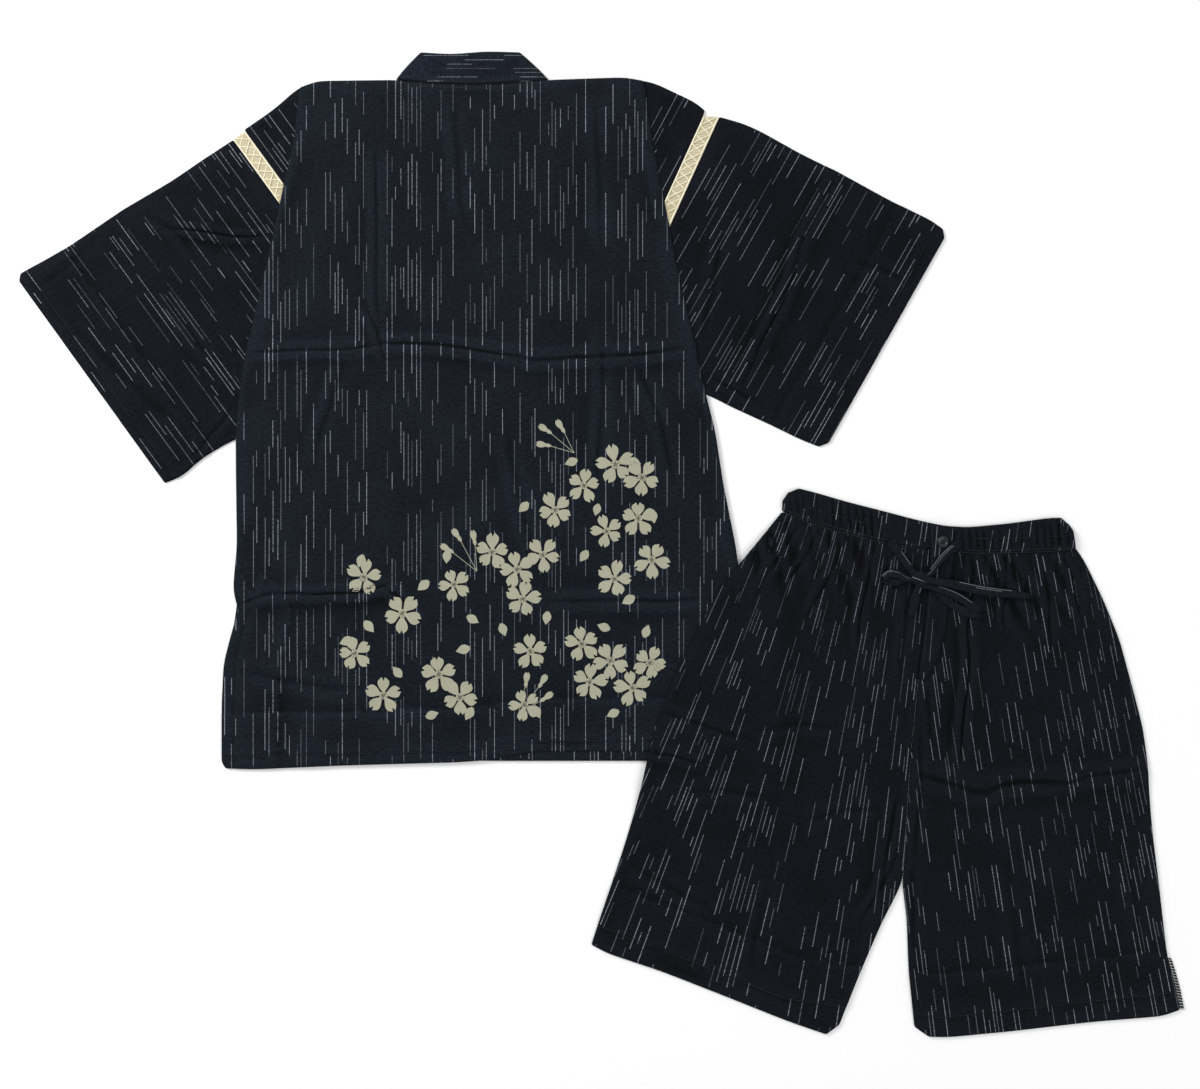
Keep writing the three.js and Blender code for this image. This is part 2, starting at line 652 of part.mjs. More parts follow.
// The seam allowance of the left leg's side seam, turned out near the hem.
const allowance = [
  { near: vec(597.4, -434), far: vec(600.5, -434) },
  { near: vec(601.6, -452), far: vec(606, -451) },
  { near: vec(606.4, -471), far: vec(611, -470) },
  { near: vec(610.8, -488), far: vec(614, -488) },
].map((r) => [r.near, r.far]);
add("side_seam_allowance", wall(allowance, level(0)));

// ---- shorts: waistband ---------------------------------------------------
const WAIST_TOP = 4.2; // upper wall where the elastic ends, front middle
const WAIST_PUFF = 1.3; // more at the middle of the band
const GATHER = { pitch: 18.8, high: 0.5 };
const waistTopEdge = [
  { x: 208, y: 59 }, { x: 225, y: 55 }, { x: 259, y: 45 }, { x: 302, y: 34 }, { x: 332, y: 26 },
  { x: 362, y: 19.5 }, { x: 387, y: 18 }, { x: 430, y: 22 }, { x: 473, y: 28 }, { x: 485, y: 28 },
];
const waistMiddle = [
  { x: 192.5, y: 46 }, { x: 226, y: 39 }, { x: 260, y: 29 }, { x: 302, y: 18 }, { x: 348, y: 8 },
  { x: 392, y: 4 }, { x: 436, y: 7 }, { x: 482, y: 12 }, { x: 497.5, y: 14 },
];
const waistUpper = [
  { x: 199, y: 55 }, { x: 226, y: 48 }, { x: 260, y: 38 }, { x: 302, y: 27 }, { x: 348, y: 16 },
  { x: 392, y: 11.5 }, { x: 436, y: 15 }, { x: 480, y: 21 }, { x: 492, y: 22 },
];
const seamHeight = (x) => THREE.MathUtils.clamp(lerp(35, -5, (x - 192) / 156), -9, 35);
const waistOver = (x, y) => {
  const across = THREE.MathUtils.clamp((y - seamHeight(x)) / 28, 0, 1);
  const plain = step(286, 300, x) * (1 - step(374, 388, x));
  const ripple = GATHER.high * Math.cos((2 * Math.PI * x) / GATHER.pitch) * (1 - plain);
  return WAIST_TOP + WAIST_PUFF * Math.sin(Math.PI * across) * (1 - 0.6 * plain) + ripple;
};
const waistGrid = planGrid([waistSeam, waistMiddle, waistUpper, waistTopEdge].map((run) => ({ run })), 32);
add("waistband", flatTube(waistGrid, level(0), waistOver));

// ---- shorts: fly and button ----------------------------------------------
// The left side laps over the right at the fly: a flap down the middle front.
const flySections = [
  { lx: 346, ly: 21, rx: 371, ry: 17 },
  { lx: 346.5, ly: 8, rx: 371.5, ry: 4 },
  { lx: 347, ly: -6, rx: 371.5, ry: -9 },
  { lx: 346.4, ly: -20, rx: 370, ry: -22 },
  { lx: 345, ly: -45, rx: 368, ry: -46 },
  { lx: 341.5, ly: -85, rx: 364, ry: -86 },
  { lx: 337, ly: -120, rx: 356, ry: -120 },
  { lx: 334.5, ly: -142, rx: 343, ry: -141 },
];
const FLY_OVER_BAND = WAIST_TOP + WAIST_PUFF + GAP;
const flyUnder = (x, y) => lerp(2 * LAYER, FLY_OVER_BAND, step(-30, -9, y));
add("fly_flap", wall(planGrid(flySections, 3), flyUnder));

const buttonProfile = [
  vec(0, 0), vec(BUTTON.radius - 0.8, 0), vec(BUTTON.radius, 0.7),
  vec(BUTTON.radius, BUTTON.height - 0.5), vec(BUTTON.radius - 0.5, BUTTON.height),
  vec(BUTTON.radius - BUTTON.rim - 0.5, BUTTON.height),
  vec(BUTTON.radius - BUTTON.rim - 1.2, BUTTON.height - BUTTON.dish),
  vec(0, BUTTON.height - BUTTON.dish),
];
const button = add(
  "button",
  new THREE.LatheGeometry(buttonProfile, 24).rotateX(Math.PI / 2),
  { color: HORN, roughness: 0.25, metalness: 0 },
);
button.position.set(359, 3, FLY_OVER_BAND + CLOTH + GAP);

// ---- shorts: drawstring --------------------------------------------------
// Hand-laid route of the drawstring from its two holes in the waistband, through
// one bow, to its two free ends. side is the direction of the tape's width.
const onBand = 6.9;
const onCloth = 6.4;
const bowHeight = 8.4;
add("string_left", tape([
  { x: 305, y: 4, z: onBand, side: 40 },
  { x: 311, y: -5, z: onBand, side: 38 },
  { x: 318, y: -15, z: onBand, side: 38 },
  { x: 325, y: -25, z: 7.2, side: 38 },
], 5));
add("string_right", tape([
  { x: 376, y: 1, z: onBand + 1.3, side: 118 },
  { x: 366, y: -7, z: onBand + 1.7, side: 122 },
  { x: 357, y: -17, z: onBand + 0.9, side: 128 },
  { x: 348, y: -29, z: 7.6, side: 135 },
], 5));
add("loop_right", tape([
  { x: 349, y: -45, z: onCloth, side: 60 },
  { x: 367, y: -61, z: onCloth - 0.4, side: 56 },
  { x: 388, y: -72, z: onCloth - 0.2, side: 60 },
  { x: 396, y: -71, z: onCloth + 1.8, side: 68 },
  { x: 391.5, y: -65.5, z: bowHeight + 0.6, side: 60 },
  { x: 372, y: -53, z: bowHeight + 0.2, side: 58 },
  { x: 349, y: -45, z: bowHeight + 0.2, side: 60 },
], 14));
add("tail_right", tape([
  { x: 348, y: -38, z: 11.2, side: 80 },
  { x: 372, y: -42, z: 11.6, side: 80 },
  { x: 396, y: -47, z: 10.6, side: 78 },
  { x: 424, y: -51, z: 7.4, side: 80 },
  { x: 450, y: -54, z: onCloth, side: 82 },
], 9));
add("loop_left", tape([
  { x: 322, y: -36, z: onCloth, side: 84 },
  { x: 311, y: -39, z: onCloth, side: 80 },
  { x: 303, y: -38.5, z: onCloth, side: 86 },
  { x: 298.5, y: -35, z: onCloth + 1.4, side: 90 },
  { x: 303, y: -30.5, z: bowHeight + 0.4, side: 88 },
  { x: 311, y: -30.5, z: bowHeight + 0.6, side: 94 },
  { x: 322, y: -36, z: bowHeight + 0.6, side: 84 },
], 12));
add("tail_left", tape([
  { x: 333, y: -47, z: onCloth, side: 176 },
  { x: 331, y: -56, z: onCloth - 0.2, side: 176 },
  { x: 329, y: -66, z: onCloth - 0.4, side: 174 },
  { x: 326, y: -74, z: onCloth - 0.4, side: 172 },
], 4));

function plainBall() {
  const ball = new THREE.SphereGeometry(1, 12, 8);
  ball.deleteAttribute("normal");
  ball.deleteAttribute("uv");
  return mergeVertices(ball, 1e-5);
}

const knot = add("bow_knot", plainBall());
knot.scale.set(9.2, 8.2, 3.2);
knot.rotation.z = THREE.MathUtils.degToRad(-20);
knot.position.set(335, -36, 9.4);

// ---- origin under the middle of the set ----------------------------------
const box = new THREE.Box3().setFromObject(set);
const middle = box.getCenter(new THREE.Vector3());
set.position.set(-middle.x, -middle.y, -box.min.z);
set.updateMatrixWorld(true);

export default set;
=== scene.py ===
import math
import random

import bmesh
import bpy
import numpy as np
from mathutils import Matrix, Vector
from mathutils.bvhtree import BVHTree
from mathutils.geometry import delaunay_2d_cdt
from mathutils.kdtree import KDTree


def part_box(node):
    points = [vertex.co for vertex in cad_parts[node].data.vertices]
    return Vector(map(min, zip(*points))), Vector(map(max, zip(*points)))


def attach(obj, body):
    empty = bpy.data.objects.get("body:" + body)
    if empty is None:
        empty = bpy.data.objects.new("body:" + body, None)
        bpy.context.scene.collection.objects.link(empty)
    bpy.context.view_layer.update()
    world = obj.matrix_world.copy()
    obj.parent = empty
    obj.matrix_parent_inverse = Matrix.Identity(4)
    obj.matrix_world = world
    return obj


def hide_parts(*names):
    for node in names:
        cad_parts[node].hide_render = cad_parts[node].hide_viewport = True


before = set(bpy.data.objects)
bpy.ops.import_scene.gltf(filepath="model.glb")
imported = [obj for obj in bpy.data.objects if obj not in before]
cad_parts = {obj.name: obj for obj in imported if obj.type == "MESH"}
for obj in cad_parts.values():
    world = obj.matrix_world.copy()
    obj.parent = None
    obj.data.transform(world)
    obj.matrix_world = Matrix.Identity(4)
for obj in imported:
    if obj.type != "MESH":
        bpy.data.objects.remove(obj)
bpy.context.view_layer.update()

# ---- sizes ---------------------------------------------------------------
MM = 0.001
CLOTH = 0.8 * MM  # thickness of the cotton
ROLL = 3.2 * MM  # how far in an edge starts to turn down
CAMERA_HEIGHT = 1.75  # above the surface, in metres
SEED = 41
CREASE_GAIN = 0.95  # height of every crease over its listed height
WAVER = 0.9  # how far a crease strays from its line, in mm
PLACE_STEP = 4.0  # between extra mesh places along a crease or hem, in mm

# The layout of the whole set is in millimetres; the button's centre ties it to the frame.
BUTTON_PLACE = (359, 3)
button_low, button_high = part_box("button")
ORIGIN = (button_low + button_high) / 2 - Vector((*BUTTON_PLACE, 0)) * MM


def at(x, y, z=0.0):
    """A place of the layout, in millimetres, as a point of the frame in metres."""
    return Vector((ORIGIN.x + x * MM, ORIGIN.y + y * MM, z * MM))


def layout(points):
    """Frame points, an array in metres, as layout millimetres."""
    return (points[:, 0] - ORIGIN.x) / MM, (points[:, 1] - ORIGIN.y) / MM


def add_object(name, data, place=(0, 0, 0)):
    """A new object in the scene, at its place."""
    obj = bpy.data.objects.new(name, data)
    obj.location = place
    bpy.context.scene.collection.objects.link(obj)
    return obj


# ---- camera --------------------------------------------------------------
camera_data = bpy.data.cameras.new("camera")
camera_data.lens = 50
camera_data.sensor_width = 36
bpy.context.scene.camera = add_object("camera", camera_data, at(1, 0, CAMERA_HEIGHT / MM))


# ---- numbers -------------------------------------------------------------
def smooth_step(low, high, value):
    t = np.clip((value - low) / (high - low), 0.0, 1.0)
    return t * t * (3 - 2 * t)


def distance_to_run(points, run):
    """Distance in plan from each point to a closed run of places."""
    a = np.array(run)[:, :2]
    best = np.full(len(points), 1e9)
    for start, stop in zip(a, np.roll(a, -1, axis=0)):
        d = stop - start
        t = np.clip(((points - start) @ d) / max(d @ d, 1e-18), 0, 1)
        best = np.minimum(best, np.hypot(*(points - start - t[:, None] * d).T))
    return best


def wander(t, bow, high):
    """How far a crease leaves its straight line: its bow, and a slight waver of its own."""
    return bow * 4 * t * (1 - t) + WAVER * np.sin(9 * t + high)


def crease_height(creases, x, y):
    """Listed folds: a narrow valley with a ridge beside it, fading at both ends."""
    lift = np.zeros(len(x))
    for x0, y0, x1, y1, bow, high, wide in creases:
        dx, dy = x1 - x0, y1 - y0
        square = dx * dx + dy * dy
        t = ((x - x0) * dx + (y - y0) * dy) / square
        side = ((x - x0) * dy - (y - y0) * dx) / math.sqrt(square) - wander(t, bow, high)
        fade = smooth_step(-0.06, 0.22, t) * (1 - smooth_step(0.72, 1.06, t))
        ridge = np.exp(-(((side - 1.15 * wide) / wide) ** 2))
        far_ridge = 0.45 * np.exp(-(((side + 1.2 * wide) / (1.2 * wide)) ** 2))
        valley = 0.85 * np.exp(-((side / (0.42 * wide)) ** 2))
        lift += CREASE_GAIN * high * fade * (ridge + far_ridge - valley)
    return lift


def line_places(a, b, offsets, bend=lambda t: 0.0):
    """Extra mesh places in rows beside a line of the layout, so that its furrow stays sharp."""
    a, b = np.array(a, float), np.array(b, float)
    length = np.hypot(*(b - a))
    out = np.array([(b - a)[1], -(b - a)[0]]) / length
    places = []
    for k in range(int(length / PLACE_STEP) + 1):
        t = k * PLACE_STEP / length
        middle = a + (b - a) * t + out * bend(t)
        places += [tuple(at(*(middle + out * off)).to_2d()) for off in offsets]
    return places


def crease_places(creases):
    """Places along the creases, closest together in their valleys."""
    places = []
    for x0, y0, x1, y1, bow, high, wide in creases:
        offsets = [share * wide for share in (-1.0, -0.5, -0.22, 0.0, 0.22, 0.5, 1.0, 1.5)]
        places += line_places((x0, y0), (x1, y1), offsets, lambda t: wander(t, bow, high))
    return places


def rumple(x, y, high, wave, seed):
    """Slow uneven waves left in cloth that was folded and laid out."""
    draw = random.Random(seed)
    total = np.zeros(len(x))
    for k in range(9):
        angle = draw.uniform(0, math.pi)
        length = wave * draw.uniform(0.6, 1.8)
        phase = draw.uniform(0, 2 * math.pi)
        along = (x * math.cos(angle) + y * math.sin(angle)) / length
        across = (y * math.cos(angle) - x * math.sin(angle)) / (2.7 * length)
        bend = 0.9 * np.sin(2 * math.pi * across + phase)
        total += np.sin(2 * math.pi * along + bend + 1.7 * k)
    return high * total / 4.0


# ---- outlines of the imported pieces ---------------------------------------
UPWARD = 0.3  # a face that leans less than this is an upper one
SHARP_CORNER = 24  # degrees, from which a bend of an outline is a real corner
OUTLINE_STEP = 3.5 * MM  # between the points of a finished outline


def joined_group(waiting):
    """Takes one face and all that it is joined to out of the waiting faces."""
    group = {waiting.pop()}
    edge_of = list(group)
    while edge_of:
        for edge in edge_of.pop().edges:
            for other in edge.link_faces:
                if other in waiting:
                    waiting.discard(other)
                    group.add(other)
                    edge_of.append(other)
    return group


def rim_loops(group):
    """The closed runs of corners round a group of faces."""
    rim = {}
    for face in group:
        for loop in face.loops:
            if sum(f in group for f in loop.edge.link_faces) == 1:
                rim.setdefault(loop.vert, []).append(loop.link_loop_next.vert)
    loops = []
    while rim:
        start = next(iter(rim))
        run = [start]
        while rim.get(run[-1]):
            onward = rim[run[-1]].pop()
            if not rim[run[-1]]:
                del rim[run[-1]]
            if onward is start:
                break
            run.append(onward)
        loops.append([v.co.copy() for v in run])
    return loops


def upper_faces(node):
    """The connected upper surfaces of a node, largest first: outline, tree of faces, area and height."""
    bm = bmesh.new()
    bm.from_mesh(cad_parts[node].data)
    bmesh.ops.remove_doubles(bm, verts=bm.verts, dist=2e-6)
    bm.normal_update()
    waiting = {f for f in bm.faces if f.normal.z > UPWARD}
    found = []
    while waiting:
        group = joined_group(waiting)
        index = {v: i for i, v in enumerate({v for f in group for v in f.verts})}
        corners = [[index[v] for v in f.verts] for f in group]
        tree = BVHTree.FromPolygons([v.co.copy() for v in index], corners)
        area = sum(f.calc_area() for f in group)
        mean = sum(f.calc_center_median().z * f.calc_area() for f in group) / area
        found.append({"loop": max(rim_loops(group), key=len), "tree": tree, "area": area, "z": mean})
    bm.free()
    return sorted(found, key=lambda s: -s["area"])


def even_run(loop, spacing):
    """The loop with points no further apart than the spacing."""
    run = []
    for a, b in zip(loop, loop[1:] + loop[:1]):
        count = max(1, math.ceil((b - a).length / spacing))
        run += [a.lerp(b, k / count) for k in range(count)]
    return run


def soft_outline(loop):
    """Takes the small bends out of an outline and keeps its real corners, a little rounded."""
    loop = [Vector((p.x, p.y)) for p in loop]
    clean = [p for i, p in enumerate(loop) if (p - loop[i - 1]).length > 1e-5]
    corners = set()
    for i, p in enumerate(clean):
        before, after = p - clean[i - 1], clean[(i + 1) % len(clean)] - p
        if abs(before.angle(after, 0.0)) > math.radians(SHARP_CORNER):
            corners.add(tuple(p))
    run = even_run(clean, 5 * MM)
    fixed = [tuple(p) in corners for p in run]
    for _ in range(4):
        run = [
            p if fixed[i] else 0.5 * p + 0.25 * (run[i - 1] + run[(i + 1) % len(run)])
            for i, p in enumerate(run)
        ]
    for _ in range(2):
        cut = []
        for a, b in zip(run, run[1:] + run[:1]):
            reach = min(0.25, 1.6 * MM / max((b - a).length, 1e-9))
            cut += [a.lerp(b, reach), b.lerp(a, reach)]
        run = cut
    return even_run(run, OUTLINE_STEP)


# ---- cloth meshes --------------------------------------------------------
ROW_SHARE = 0.866  # of the spacing, between the grid's rows, so that its triangles are even
EDGE_RINGS = (0.16, 0.42, 0.8)  # shares of the rolled edge's depth


def signed_area(run):
    """Area inside a run of places, below zero where it runs clockwise."""
    x, y = run[:, 0], run[:, 1]
    return np.sum(x * np.roll(y, -1) - np.roll(x, -1) * y) / 2


def turn_of(plan, face):
    """Twice a triangle's area, below zero where it faces down."""
    a, b, c = (plan[i] for i in face[:3])
    return (b[0] - a[0]) * (c[1] - a[1]) - (b[1] - a[1]) * (c[0] - a[0])


def fill_outline(outline, inner):
    """Triangles that fill an outline, through the places inside it, all facing up."""
    coords = [Vector(p) for p in outline] + [Vector(p) for p in inner]
    count = len(outline)
    edges = [(i, (i + 1) % count) for i in range(count)]
    verts, _, faces, *_ = delaunay_2d_cdt(coords, edges, [], 1, 1e-7)
    plan = np.array([[v[0], v[1]] for v in verts])
    faces = [tuple(f) if turn_of(plan, f) > 0 else tuple(reversed(f)) for f in faces]
    return plan, [f for f in faces if abs(turn_of(plan, f)) > 1e-12]


class Cloth:
    """A sheet of cloth as arrays: upper points, triangles and outline."""

    def __init__(self, surface, spacing, lift=None, drop=1.3 * MM, roll=ROLL, smooth=14, floor=None, seed=0,
                 creases=(), hems=()):
        self.outline = np.array([[p[0], p[1]] for p in soft_outline(surface["loop"])])
        sharp_places = np.array(crease_places(creases) + hem_places(hems)).reshape(-1, 2)
        inner = self.scatter(spacing, roll, seed, sharp_places)
        plan, self.faces = fill_outline(self.outline, inner)
        away = distance_to_run(plan, self.outline)
        z = self.relax(np.array([self.fall(surface["tree"], p) for p in plan]), smooth)
        if lift is not None:
            z = z + lift(*layout(plan), away) * MM
        inside = np.clip(1 - away / roll, 0, 1)
        z = z - drop * (1 - np.sqrt(np.clip(1 - inside ** 2, 0, 1)))
        self.plan, self.z, self.floor = plan, z, floor
        # How far each point lies below its smoothed neighbours, away from the rolled edge: the cotton paints
        # shade in the hollows and highlight on the ridges from it.
        level = self.relax(z, 10)
        self.painted_fold_shading = np.clip((level - z) / MM, -1, 1) * smooth_step(0.2 * roll, 1.2 * roll, away)

    def scatter(self, spacing, roll, seed, sharp_places):
        """Places inside the outline: an uneven grid, those that keep furrows sharp, and rings at the edge."""
        a = self.outline
        low, high = a.min(0), a.max(0)
        rows = int((high[1] - low[1]) / (spacing * ROW_SHARE)) + 1
        columns = int((high[0] - low[0]) / spacing) + 2
        gx, gy = np.meshgrid(np.arange(columns), np.arange(rows))
        x = low[0] + (gx + 0.5 * (gy % 2)) * spacing
        y = low[1] + gy * spacing * ROW_SHARE
        grid = np.column_stack([x.ravel(), y.ravel()])
        draw = np.random.default_rng(SEED + seed)
        grid += draw.uniform(-0.16, 0.16, grid.shape) * spacing
        ahead = np.roll(a, -1, axis=0) - np.roll(a, 1, axis=0)
        ahead /= np.linalg.norm(ahead, axis=1)[:, None] + 1e-12
        inward = np.column_stack([-ahead[:, 1], ahead[:, 0]]) * (1 if signed_area(a) > 0 else -1)
        clear = distance_to_run(sharp_places, a) > roll + 0.9 * MM
        sharp_places = sharp_places[self.inside(sharp_places) & clear]
        if len(sharp_places):
            near = KDTree(len(sharp_places))
            for i, q in enumerate(sharp_places):
                near.insert((q[0], q[1], 0), i)
            near.balance()
            grid = grid[[near.find((q[0], q[1], 0))[2] > 0.5 * spacing for q in grid]]
        grid = grid[self.inside(grid) & (distance_to_run(grid, a) > roll + 0.45 * spacing)]
        points = [grid, sharp_places]
        for share in EDGE_RINGS:
            ring = a + inward * roll * share
            points.append(ring[(distance_to_run(ring, a) > 0.86 * roll * share) & self.inside(ring)])
        return np.vstack(points)

    def inside(self, points):
        a, b = self.outline, np.roll(self.outline, -1, axis=0)
        count = np.zeros(len(points), int)
        for (x0, y0), (x1, y1) in zip(a, b):
            crosses = (y0 > points[:, 1]) != (y1 > points[:, 1])
            if y1 != y0:
                count += crosses & (points[:, 0] < (x1 - x0) * (points[:, 1] - y0) / (y1 - y0) + x0)
        return count % 2 == 1

    @staticmethod
    def fall(tree, p):
        hit = tree.ray_cast(Vector((p[0], p[1], 1.0)), Vector((0, 0, -1)))[0]
        if hit is None:
            hit = tree.find_nearest(Vector((p[0], p[1], 0.004)))[0]
        return hit.z

    def relax(self, z, passes):
        """Heights drawn towards those of their neighbours."""
        tri = np.array(self.faces)
        pairs = np.vstack([tri[:, [0, 1]], tri[:, [1, 2]], tri[:, [2, 0]]])
        pairs = np.vstack([pairs, pairs[:, ::-1]])
        count = np.bincount(pairs[:, 0], minlength=len(z)) + 1e-9
        for _ in range(passes):
            z = 0.4 * z + 0.6 * np.bincount(pairs[:, 0], weights=z[pairs[:, 1]], minlength=len(z)) / count
        return z

    def area(self):
        return abs(signed_area(self.outline))

    def shell(self, thick):
        """Points and faces of the closed sheet."""
        n = len(self.plan)
        low = self.z - thick if self.floor is None else np.maximum(self.z - thick, self.floor)
        high = np.maximum(self.z, low + 0.25 * MM)
        points = np.vstack([np.column_stack([self.plan, high]), np.column_stack([self.plan, low])])
        used = {}
        for f in self.faces:
            for a, b in zip(f, f[1:] + f[:1]):
                used[(a, b)] = used.get((a, b), 0) + 1
        rim = [(a, b) for (a, b) in used if (b, a) not in used]
        faces = list(self.faces) + [tuple(i + n for i in reversed(f)) for f in self.faces]
        faces += [(b, a, a + n, b + n) for a, b in rim]
        return points, faces


def make_object(name, points, faces, material, grain=None, sharp=52, painted_fold_shading=None):
    mesh = bpy.data.meshes.new(name)
    mesh.from_pydata([tuple(p) for p in points], [], [tuple(f) for f in faces])
    mesh.validate(clean_customdata=False)
    mesh.polygons.foreach_set("use_smooth", [True] * len(mesh.polygons))
    if grain is not None:
        layer = mesh.uv_layers.new(name="grain")
        co = np.zeros(len(mesh.vertices) * 3)
        mesh.vertices.foreach_get("co", co)
        uv = grain(co.reshape(-1, 3))
        corner = np.zeros(len(mesh.loops), int)
        mesh.loops.foreach_get("vertex_index", corner)
        layer.data.foreach_set("uv", uv[corner].ravel())
    # A point attribute that the cotton reads as painted shade and highlight of the folds.
    if painted_fold_shading is not None:
        depth = mesh.attributes.new("painted_fold_shading", "FLOAT", "POINT")
        depth.data.foreach_set("value", painted_fold_shading)
    mesh.set_sharp_from_angle(angle=math.radians(sharp))
    mesh.materials.append(material)
    return add_object(name, mesh)


def join_objects(name, objects):
    """One plain mesh from several, keeping their grain maps and materials."""
    bpy.ops.object.select_all(action="DESELECT")
    for o in objects:
        o.select_set(True)
    bpy.context.view_layer.objects.active = objects[0]
    bpy.ops.object.join()
    objects[0].name = name
    objects[0].data.name = name
    return objects[0]


def evaluated_mesh(obj, name):
    """The object's mesh with its modifiers applied, as a plain mesh of its own."""
    bpy.context.view_layer.update()
    plain = bpy.data.meshes.new_from_object(obj.evaluated_get(bpy.context.evaluated_depsgraph_get()))
    plain.name = name
    return plain


# ---- grain of the cloth --------------------------------------------------
def straight_grain(degrees, across=0.0, along=0.0):
    """Warp turned from Y by an angle, anticlockwise; across and along slide the pattern, in mm."""
    c, s = math.cos(math.radians(degrees)), math.sin(math.radians(degrees))

    def grain(points):
        x, y = layout(points)
        u = (x * c + y * s + across) * MM
        v = (-x * s + y * c + along) * MM
        return np.column_stack([u, v])
    return grain


def fanned_grain(apex_x, apex_y, reach, across=0.0, along=0.0):
    """Warp running out from a far point, as where gathers draw the cloth together."""
    def grain(points):
        x, y = layout(points)
        angle = np.arctan2(x - apex_x, apex_y - y)
        u = (angle * reach + across) * MM
        v = (along - np.hypot(x - apex_x, y - apex_y)) * MM
        return np.column_stack([u, v])
    return grain


# ---- materials -----------------------------------------------------------
def linear(r, g, b):
    """A colour given as 0 to 255 screen values, as the shader wants it."""
    def one(c):
        c = c / 255
        return c / 12.92 if c <= 0.04045 else ((c + 0.055) / 1.055) ** 2.4
    return (one(r), one(g), one(b), 1.0)


class Nodes:
    """Short hand for building a material's node tree."""

    def __init__(self, name):
        self.material = bpy.data.materials.new(name)
        self.material.use_nodes = True
        self.tree = self.material.node_tree
        self.shader = self.tree.nodes["Principled BSDF"]

    def add(self, kind, **settings):
        node = self.tree.nodes.new(kind)
        for key, value in settings.items():
            setattr(node, key, value)
        return node

    def link(self, source, target):
        self.tree.links.new(source, target)

    def put(self, value, target):
        """Sets a number or a colour, and links anything else."""
        if isinstance(value, (int, float, tuple)):
            target.default_value = value
        else:
            self.link(value, target)

    def math(self, operation, *values):
        node = self.add("ShaderNodeMath", operation=operation)
        for value, target in zip(values, node.inputs):
            self.put(value, target)
        return node.outputs[0]

    def clamped(self, operation, *values):
        result = self.math(operation, *values)
        result.node.use_clamp = True
        return result

    def between(self, ends, share):
        low, high = ends
        return self.math("ADD", low, self.math("MULTIPLY", share, high - low))

    def mix(self, amount, a, b):
        node = self.add("ShaderNodeMix", data_type="RGBA")
        for value, target in ((amount, node.inputs[0]), (a, node.inputs[6]), (b, node.inputs[7])):
            self.put(value, target)
        return node.outputs[2]

    def grain(self):
        """The place on the cloth in metres, across the warp and along it."""
        node = self.add("ShaderNodeUVMap", uv_map="grain")
        split = self.add("ShaderNodeSeparateXYZ")
        self.link(node.outputs[0], split.inputs[0])
        return node.outputs[0], split.outputs[0], split.outputs[1]

    def pair(self, x, y):
        node = self.add("ShaderNodeCombineXYZ")
        self.put(x, node.inputs[0])
        self.put(y, node.inputs[1])
        return node.outputs[0]

    def place(self):
        return self.add("ShaderNodeTexCoord").outputs["Object"]

    def surface(self, colour, rough, normal=None, specular=0.5, sheen=0.0):
        """The finish: colour, roughness, small relief, and the light that its face and its nap throw back."""
        self.put(colour, self.shader.inputs["Base Color"])
        self.put(rough, self.shader.inputs["Roughness"])
        self.put(specular, self.shader.inputs["Specular IOR Level"])
        self.put(sheen, self.shader.inputs["Sheen Weight"])
        if normal is not None:
            self.put(normal, self.shader.inputs["Normal"])
        return self.material

    def chance(self, x, y):
        """One random number for each cell, and three more."""
        noise = self.add("ShaderNodeTexWhiteNoise", noise_dimensions="3D")
        self.link(self.pair(x, y), noise.inputs[0])
        split = self.add("ShaderNodeSeparateColor")
        self.link(noise.outputs["Color"], split.inputs[0])
        return noise.outputs["Value"], split.outputs

    def noise(self, vector, scale, detail=2.0, rough=0.5):
        node = self.add("ShaderNodeTexNoise")
        self.link(vector, node.inputs["Vector"])
        node.inputs["Scale"].default_value = scale
        node.inputs["Detail"].default_value = detail
        node.inputs["Roughness"].default_value = rough
        return node.outputs[0]

    def squeeze(self, vector, x):
        """Drawn out along the first direction where x is below 1."""
        node = self.add("ShaderNodeMapping")
        node.inputs["Scale"].default_value = (x, 1.0, 1.0)
        self.link(vector, node.inputs[0])
        return node.outputs[0]

    def bump(self, height, strength, distance, before=None):
        node = self.add("ShaderNodeBump")
        node.inputs["Strength"].default_value = strength
        node.inputs["Distance"].default_value = distance
        self.link(height, node.inputs["Height"])
        if before is not None:
            self.link(before, node.inputs["Normal"])
        return node.outputs[0]


COLUMN = 4.3 * MM  # pitch of the warp places where a pale thread may float
CLUSTER = 78 * MM  # pitch of the close groups of pale threads
CLUSTER_HALF = 0.155  # half a group's width, as a share of its pitch
BARE_IN_CLUSTER = 0.14  # share of a group's places with no pale thread
THREAD = 0.64 * MM  # width of a pale float
PLACE_ACROSS = (0.3, 0.7)  # where it may lie across its place
FLOAT_LENGTH = (0.14, 0.76)  # as a share of the repeat along the warp
FLOAT_STRENGTH = (0.16, 0.62)  # from the faintest float to the clearest
LEFT_OUT = 0.12  # share of the floats that stay at the back of the cloth


